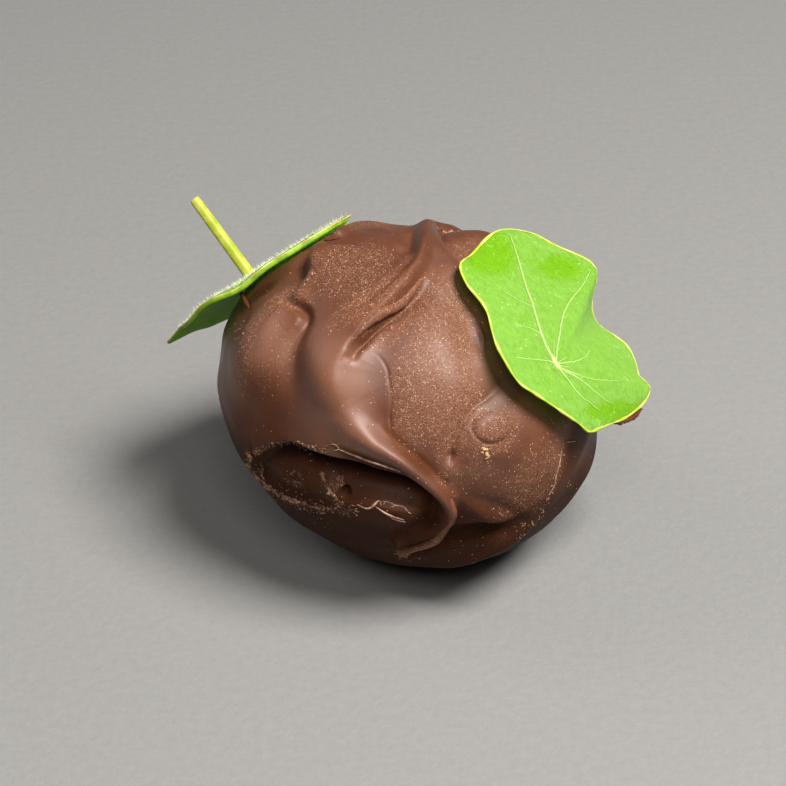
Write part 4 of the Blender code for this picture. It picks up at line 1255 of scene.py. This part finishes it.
def add_rim(name, node, leaf, size, finish):
    """The thin pale edge that runs all round a leaf."""
    angles = np.arange(LEAF_SPOKES * 2) * math.pi / LEAF_SPOKES
    points = leaf.place(0.995 * leaf.rim(angles))
    runs = unit(np.roll(points, -1, axis=0) - np.roll(points, 1, axis=0))
    east = unit(np.cross(runs, leaf.face))
    turns = np.arange(RIM_SIDES) * 2 * math.pi / RIM_SIDES
    sizes = size * (1 + 0.22 * np.sin(9 * angles + 1) + 0.18 * np.sin(23 * angles))[:, None, None]
    rings = points[:, None] + sizes * (
        np.cos(turns)[None, :, None] * east[:, None] * 1.2 + np.sin(turns)[None, :, None] * leaf.face)
    here = np.arange(rings[..., 0].size).reshape(-1, RIM_SIDES)
    ahead = np.roll(here, -1, axis=0)
    faces = np.stack([here, ahead, np.roll(ahead, -1, axis=1), np.roll(here, -1, axis=1)], axis=2)
    piece(mesh_of(name, rings.reshape(-1, 3), faces.reshape(-1, 4).tolist()), node, finish)


def spikes(roots, ways, lengths, size):
    """Fine hairs as long three-sided spikes."""
    points, faces = [], []
    for count, (root, way, length) in enumerate(zip(roots, unit(ways), lengths)):
        east = unit(np.cross(way, [0.3, 0.5, 0.8]))
        north = np.cross(way, east)
        foot = [root + size * (math.cos(a) * east + math.sin(a) * north) for a in np.radians((0, 120, 240))]
        points.extend([*foot, root + length * way])
        k = 4 * count
        faces.extend([(k + 2, k + 1, k), (k, k + 1, k + 3), (k + 1, k + 2, k + 3), (k + 2, k, k + 3)])
    return points, faces


def add_right_leaf():
    """The leaf seen from its upper side: its blade, yellow rim, veins and pale heart."""
    leaf = RIGHT_LEAF

    def lush(flat):
        """Where the blade is deep green, from 0 to 1; the paler green elsewhere is a painted sheen."""
        across, up, _ = SHEET @ leaf.place(flat).T
        return np.max([
            depth * np.exp(-(((across - x) / wide) ** 2) - ((up - y) / high) ** 2)
            for depth, x, y, wide, high in (
                (1.0, 6.8, 12.4, 3.0, 2.4), (1.0, 18.5, -1.4, 3.6, 1.0), (0.8, 13.6, 11.5, 3.0, 1.5))
        ], axis=0)

    upper = leaf_finish("leaf_right_upper_face", (0.125, 0.31, 0.003), (0.17, 0.35, 0.045), 0.10)
    under = leaf_finish("leaf_right_under_face", (0.17, 0.33, 0.05), (0.25, 0.41, 0.12), 0.02)
    add_blade("leaf_right_blade", "leaf_right", leaf, upper, under, lush)
    yellow = vein_finish("leaf_right_edge", (0.33, 0.46, 0.02), (0.60, 0.62, 0.13))
    add_rim("leaf_right_edge", "leaf_right", leaf, 0.105, yellow)
    marks = (
        (((13.5, 3.2), (12.5, 4.7), (11.7, 6.5), (11.1, 8.5), (10.5, 10.1), (10.0, 11.9), (9.5, 13.5),
          (9.1, 14.6)),
         0.15, 0.05),
        (((13.5, 3.2), (13.7, 5.5), (13.9, 7.1), (14.5, 8.5), (15.4, 9.8), (15.9, 11.0)), 0.07, 0.03),
        (((13.5, 3.1), (11.1, 3.3), (9.7, 3.5)), 0.06, 0.025),
        (((13.6, 3.0), (15.2, 3.2), (16.1, 3.6), (16.4, 4.2)), 0.055, 0.025),
        (((13.6, 2.8), (16.1, 1.0), (17.5, -0.2), (18.5, -0.8)), 0.08, 0.03),
        (((13.6, 2.8), (15.4, 1.9), (17.0, 1.4), (18.8, 1.1)), 0.055, 0.02),
        (((13.6, 2.7), (15.2, 0.3), (16.5, -0.8), (17.4, -1.5)), 0.065, 0.03),
        (((12.1, 5.6), (11.0, 6.1), (9.6, 6.4)), 0.035, 0.015),
        (((11.3, 8.0), (10.0, 8.6), (8.6, 9.4)), 0.035, 0.015),
    )
    lines = [(leaf.unseen(line), root, tip) for line, root, tip in marks]
    heart = leaf.unseen(((13.5, 3.0),))[0]
    chance = np.random.default_rng(21)
    small_veins = 15
    for turn in range(small_veins):
        angle = 2 * math.pi * (turn + chance.uniform(0.1, 0.9)) / small_veins
        reach = chance.uniform(0.12, 0.3) * float(leaf.edge(angle))
        way = np.array([math.cos(angle), math.sin(angle)])
        across = np.array([-way[1], way[0]]) * chance.normal(scale=0.1)
        lines.append(([heart, heart + way * reach * 0.5 + across, heart + way * reach], 0.035, 0.012))
    pale = vein_finish("leaf_right_veins", (0.34, 0.54, 0.13), (0.46, 0.62, 0.24))
    add_veins("leaf_right_veins", "leaf_right", leaf, lines, pale)
    heart = smooth_line(leaf.unseen(((13.1, 3.8), (13.5, 3.1), (13.9, 2.3))), 0.15)
    points = leaf.place(heart) + 0.5 * LEAF_THICKNESS * leaf.face
    shape = tube(points, tapered(len(points), 0.32), 10, 0.3, np.tile(leaf.face, (len(points), 1)))
    piece(mesh_of("leaf_right_heart", *shape), "leaf_right",
          vein_finish("leaf_right_heart", (0.36, 0.50, 0.12), (0.48, 0.58, 0.22)))


def add_left_leaf():
    """The leaf seen nearly edge-on: its blade, rusty rim, rolled near edge, veins, stalk and fuzz."""
    leaf = LEFT_LEAF
    outer = leaf_finish("leaf_left_under_face", (0.22, 0.35, 0.06), (0.31, 0.43, 0.14), 0.10)
    # Painted light: the inner face is painted bright green towards the leaf's upper right end, standing in for
    # light shining through the blade.
    inner = leaf_finish("leaf_left_upper_face", (0.17, 0.33, 0.004), (0.55, 0.85, 0.05), 0.02)
    add_blade("leaf_left_blade", "leaf_left", leaf, outer, inner,
              lambda flat: ((6.0 - flat[:, 0]) / 12).clip(0, 1))
    rusty = vein_finish("leaf_left_edge", (0.44, 0.25, 0.07), (0.60, 0.58, 0.22))
    add_rim("leaf_left_edge", "leaf_left", leaf, 0.08, rusty)
    rim = leaf.rim(-np.linspace(0.04, 0.97, LEAF_ROLL_STEPS) * math.pi)
    points = leaf.place(rim * 0.985) - 0.2 * leaf.face
    roll = tube(points, tapered(len(rim), 0.24), 10, 1.0, np.tile(leaf.face, (len(rim), 1)))
    piece(mesh_of("leaf_left_roll", *roll), "leaf_left",
          vein_finish("leaf_left_roll", (0.11, 0.24, 0.004), (0.22, 0.38, 0.015)))
    lines = []
    main_veins = 9
    shares = np.array([0.05, 0.35, 0.65, 1.0])
    for turn in range(main_veins):
        angle = 2 * math.pi * (turn + 0.3) / main_veins
        reach = 0.9 * leaf.edge(angle) * shares
        lines.append((reach[:, None] * steps_round(angle + 0.14 * np.sin(3 * shares + turn)), 0.16, 0.04))
    add_veins("leaf_left_veins", "leaf_left", leaf, lines,
              vein_finish("leaf_left_veins", (0.39, 0.50, 0.20), (0.53, 0.59, 0.32)))
    add_fuzz(leaf, *add_stalk(leaf))


def add_stalk(leaf):
    """The ribbed stalk with its pale cut end. Given back are its root, its way and the two ways across it."""
    root = leaf.place(np.zeros((1, 2)))[0] - 0.1 * leaf.face
    way = unit(leaf.face - 0.04 * leaf.length)
    east = unit(np.cross(way, TOWARDS))
    across = np.array([east, np.cross(way, east)])
    shares = np.linspace(0, 1, STALK_RINGS)
    radii = np.interp(shares, [0, 0.03, 0.08, 0.97, 1], [0.75, 0.68, 0.56, 0.48, 0.45])
    turns = np.arange(STALK_SIDES) * 2 * math.pi / STALK_SIDES
    ribs = 1 + 0.05 * np.cos(5 * turns)
    centres = root + (shares * STALK_LENGTH)[:, None] * way
    rings = centres[:, None] + (radii[:, None] * ribs)[:, :, None] * (steps_round(turns) @ across)
    cut = centres[-1] - 0.12 * way
    points = np.concatenate([rings.reshape(-1, 3), rings[-1] + 0.25 * (cut - rings[-1]), [cut]])
    grid = np.arange(len(points) - 1).reshape(-1, STALK_SIDES)
    after = np.roll(grid, -1, axis=1)
    sides = np.stack([grid[:-1], after[:-1], after[1:], grid[1:]], axis=2).reshape(-1, 4).tolist()
    faces = [*sides, *((a, b, len(points) - 1) for a, b in zip(grid[-1].tolist(), after[-1].tolist()))]
    mesh = mesh_of("leaf_left_stalk", points, faces)
    piece(mesh, "leaf_left", vein_finish("leaf_left_stalk", (0.30, 0.36, 0.02), (0.42, 0.44, 0.07)))
    mesh.materials.append(vein_finish("leaf_left_stalk_cut", (0.53, 0.60, 0.34), (0.66, 0.70, 0.54)))
    for face in mesh.polygons[(STALK_RINGS - 1) * STALK_SIDES:]:
        face.material_index = 1
    return root, way, across


def add_fuzz(leaf, root, way, across):
    """Fine hairs on the leaf's outer face and along its stalk."""
    chance = np.random.default_rng(3)
    angle, share = chance.uniform(0, 2 * math.pi, LEAF_HAIRS), np.sqrt(chance.uniform(0, 0.98, LEAF_HAIRS))
    roots = leaf.place(share[:, None] * leaf.rim(angle)) + 0.4 * LEAF_THICKNESS * leaf.face
    ways = leaf.face + 0.45 * chance.normal(size=(LEAF_HAIRS, 3))
    fuzz = [spikes(roots, ways, chance.uniform(0.2, 0.5, LEAF_HAIRS), 0.022)]
    turn, share = chance.uniform(0, 2 * math.pi, STALK_HAIRS), chance.uniform(0.02, 1, STALK_HAIRS)
    out = steps_round(turn) @ across
    roots = root + (share * STALK_LENGTH)[:, None] * way + 0.45 * out
    ways = out + 0.5 * way + 0.3 * chance.normal(size=(STALK_HAIRS, 3))
    fuzz.append(spikes(roots, ways, chance.uniform(0.1, 0.25, STALK_HAIRS), 0.015))
    piece(mesh_of("leaf_left_fuzz", *joined(fuzz)), "leaf_left",
          vein_finish("leaf_left_fuzz", (0.46, 0.56, 0.31), (0.62, 0.67, 0.47)), smooth=False)


def add_smear(coat):
    """Chocolate caught under the right leaf's lower edge, and two dabs beside the left leaf."""
    leaf = RIGHT_LEAF
    chance = np.random.default_rng(9)
    marks = ((18.6, -2.2), (19.3, -2.2), (20.0, -2.05), (20.7, -1.7), (21.1, -1.3))
    edge = smooth_line(leaf.unseen(marks), 0.2)
    points = leaf.place(edge) - 0.3 * leaf.face
    points += 0.04 * chance.normal(size=points.shape)
    radii = tapered(len(points), 0.25) * chance.uniform(0.85, 1.15, len(points))
    piece(mesh_of("bonbon_smear", *tube(points, radii, 12, 0.9)), "bonbon", coat)
    drips = []
    for line, size, flat, proud in (
        (((-15.1, 9.5), (-14.9, 9.0), (-14.6, 8.4), (-14.3, 7.9)), 0.22, 0.9, 0.25),
        (((-8.6, 13.6), (-7.8, 14.0), (-7.0, 14.25), (-6.2, 14.4)), 0.3, 0.4, 0.1),
    ):
        places, points = coated(smooth_line(np.array(line), 0.15))
        points = relaxed(points, 3) + proud * ball_normals(places)
        drips.append(tube(points, tapered(len(points), size), 10, flat, ball_normals(places)))
    piece(mesh_of("bonbon_drip", *joined(drips)), "bonbon", coat)


def add_floor():
    """The plain floor, which isn't part of the sweet."""
    bpy.ops.mesh.primitive_plane_add(size=3)
    floor = bpy.context.object
    floor.name = "pale_floor"
    floor.data.materials.append(floor_finish())


def add_lamp(name, place, size, power, colour):
    """A round soft lamp that is turned to the sweet's middle. Its place and size are in metres."""
    data = bpy.data.lights.new(name, "AREA")
    data.shape = "DISK"
    data.size, data.energy, data.color = size, power, colour
    lamp = bpy.data.objects.new(name, data)
    lamp.location = place
    aim = Vector((0, 0, BALL_HEIGHT * MM)) - lamp.location
    lamp.rotation_euler = aim.to_track_quat("-Z", "Y").to_euler()
    bpy.context.scene.collection.objects.link(lamp)


def light_scene():
    """Plain studio light: a soft key from the right, two weak lamps and a dim room."""
    add_lamp("key", (0.21, -0.13, 0.46), 0.22, 5.8, (1.0, 0.98, 0.95))
    add_lamp("side", (-0.42, 0.08, 0.36), 0.30, 0.7, (1.0, 0.97, 0.93))
    add_lamp("front", (0.0, -0.34, 0.42), 0.22, 0.85, (1.0, 0.97, 0.94))
    world = bpy.data.worlds.new("soft_room")
    world.use_nodes = True
    world.node_tree.nodes["Background"].inputs["Color"].default_value = (0.035, 0.035, 0.035, 1)
    bpy.context.scene.world = world
    bpy.context.scene.view_settings.view_transform = "Standard"


def add_camera():
    """The camera at the eye that the marks are laid out from, moved aside to set the sweet off the middle."""
    data = bpy.data.cameras.new("camera")
    data.lens, data.sensor_width, data.clip_start = LENS, SENSOR_WIDTH, NEAREST_SEEN
    camera = bpy.data.objects.new("camera", data)
    columns = np.stack([RIGHT, UP, TOWARDS, metres(AIM @ SHEET[:2] + EYE)], axis=1)
    camera.matrix_world = Matrix([*columns.tolist(), (0, 0, 0, 1)])
    bpy.context.scene.collection.objects.link(camera)
    bpy.context.scene.camera = camera


coating_finish = chocolate_finish()
add_bonbon(coating_finish)
add_crests(coating_finish)
add_crumbs()
add_strands()
add_tan_crumb()
add_right_leaf()
add_left_leaf()
add_smear(coating_finish)
add_floor()
light_scene()
add_camera()
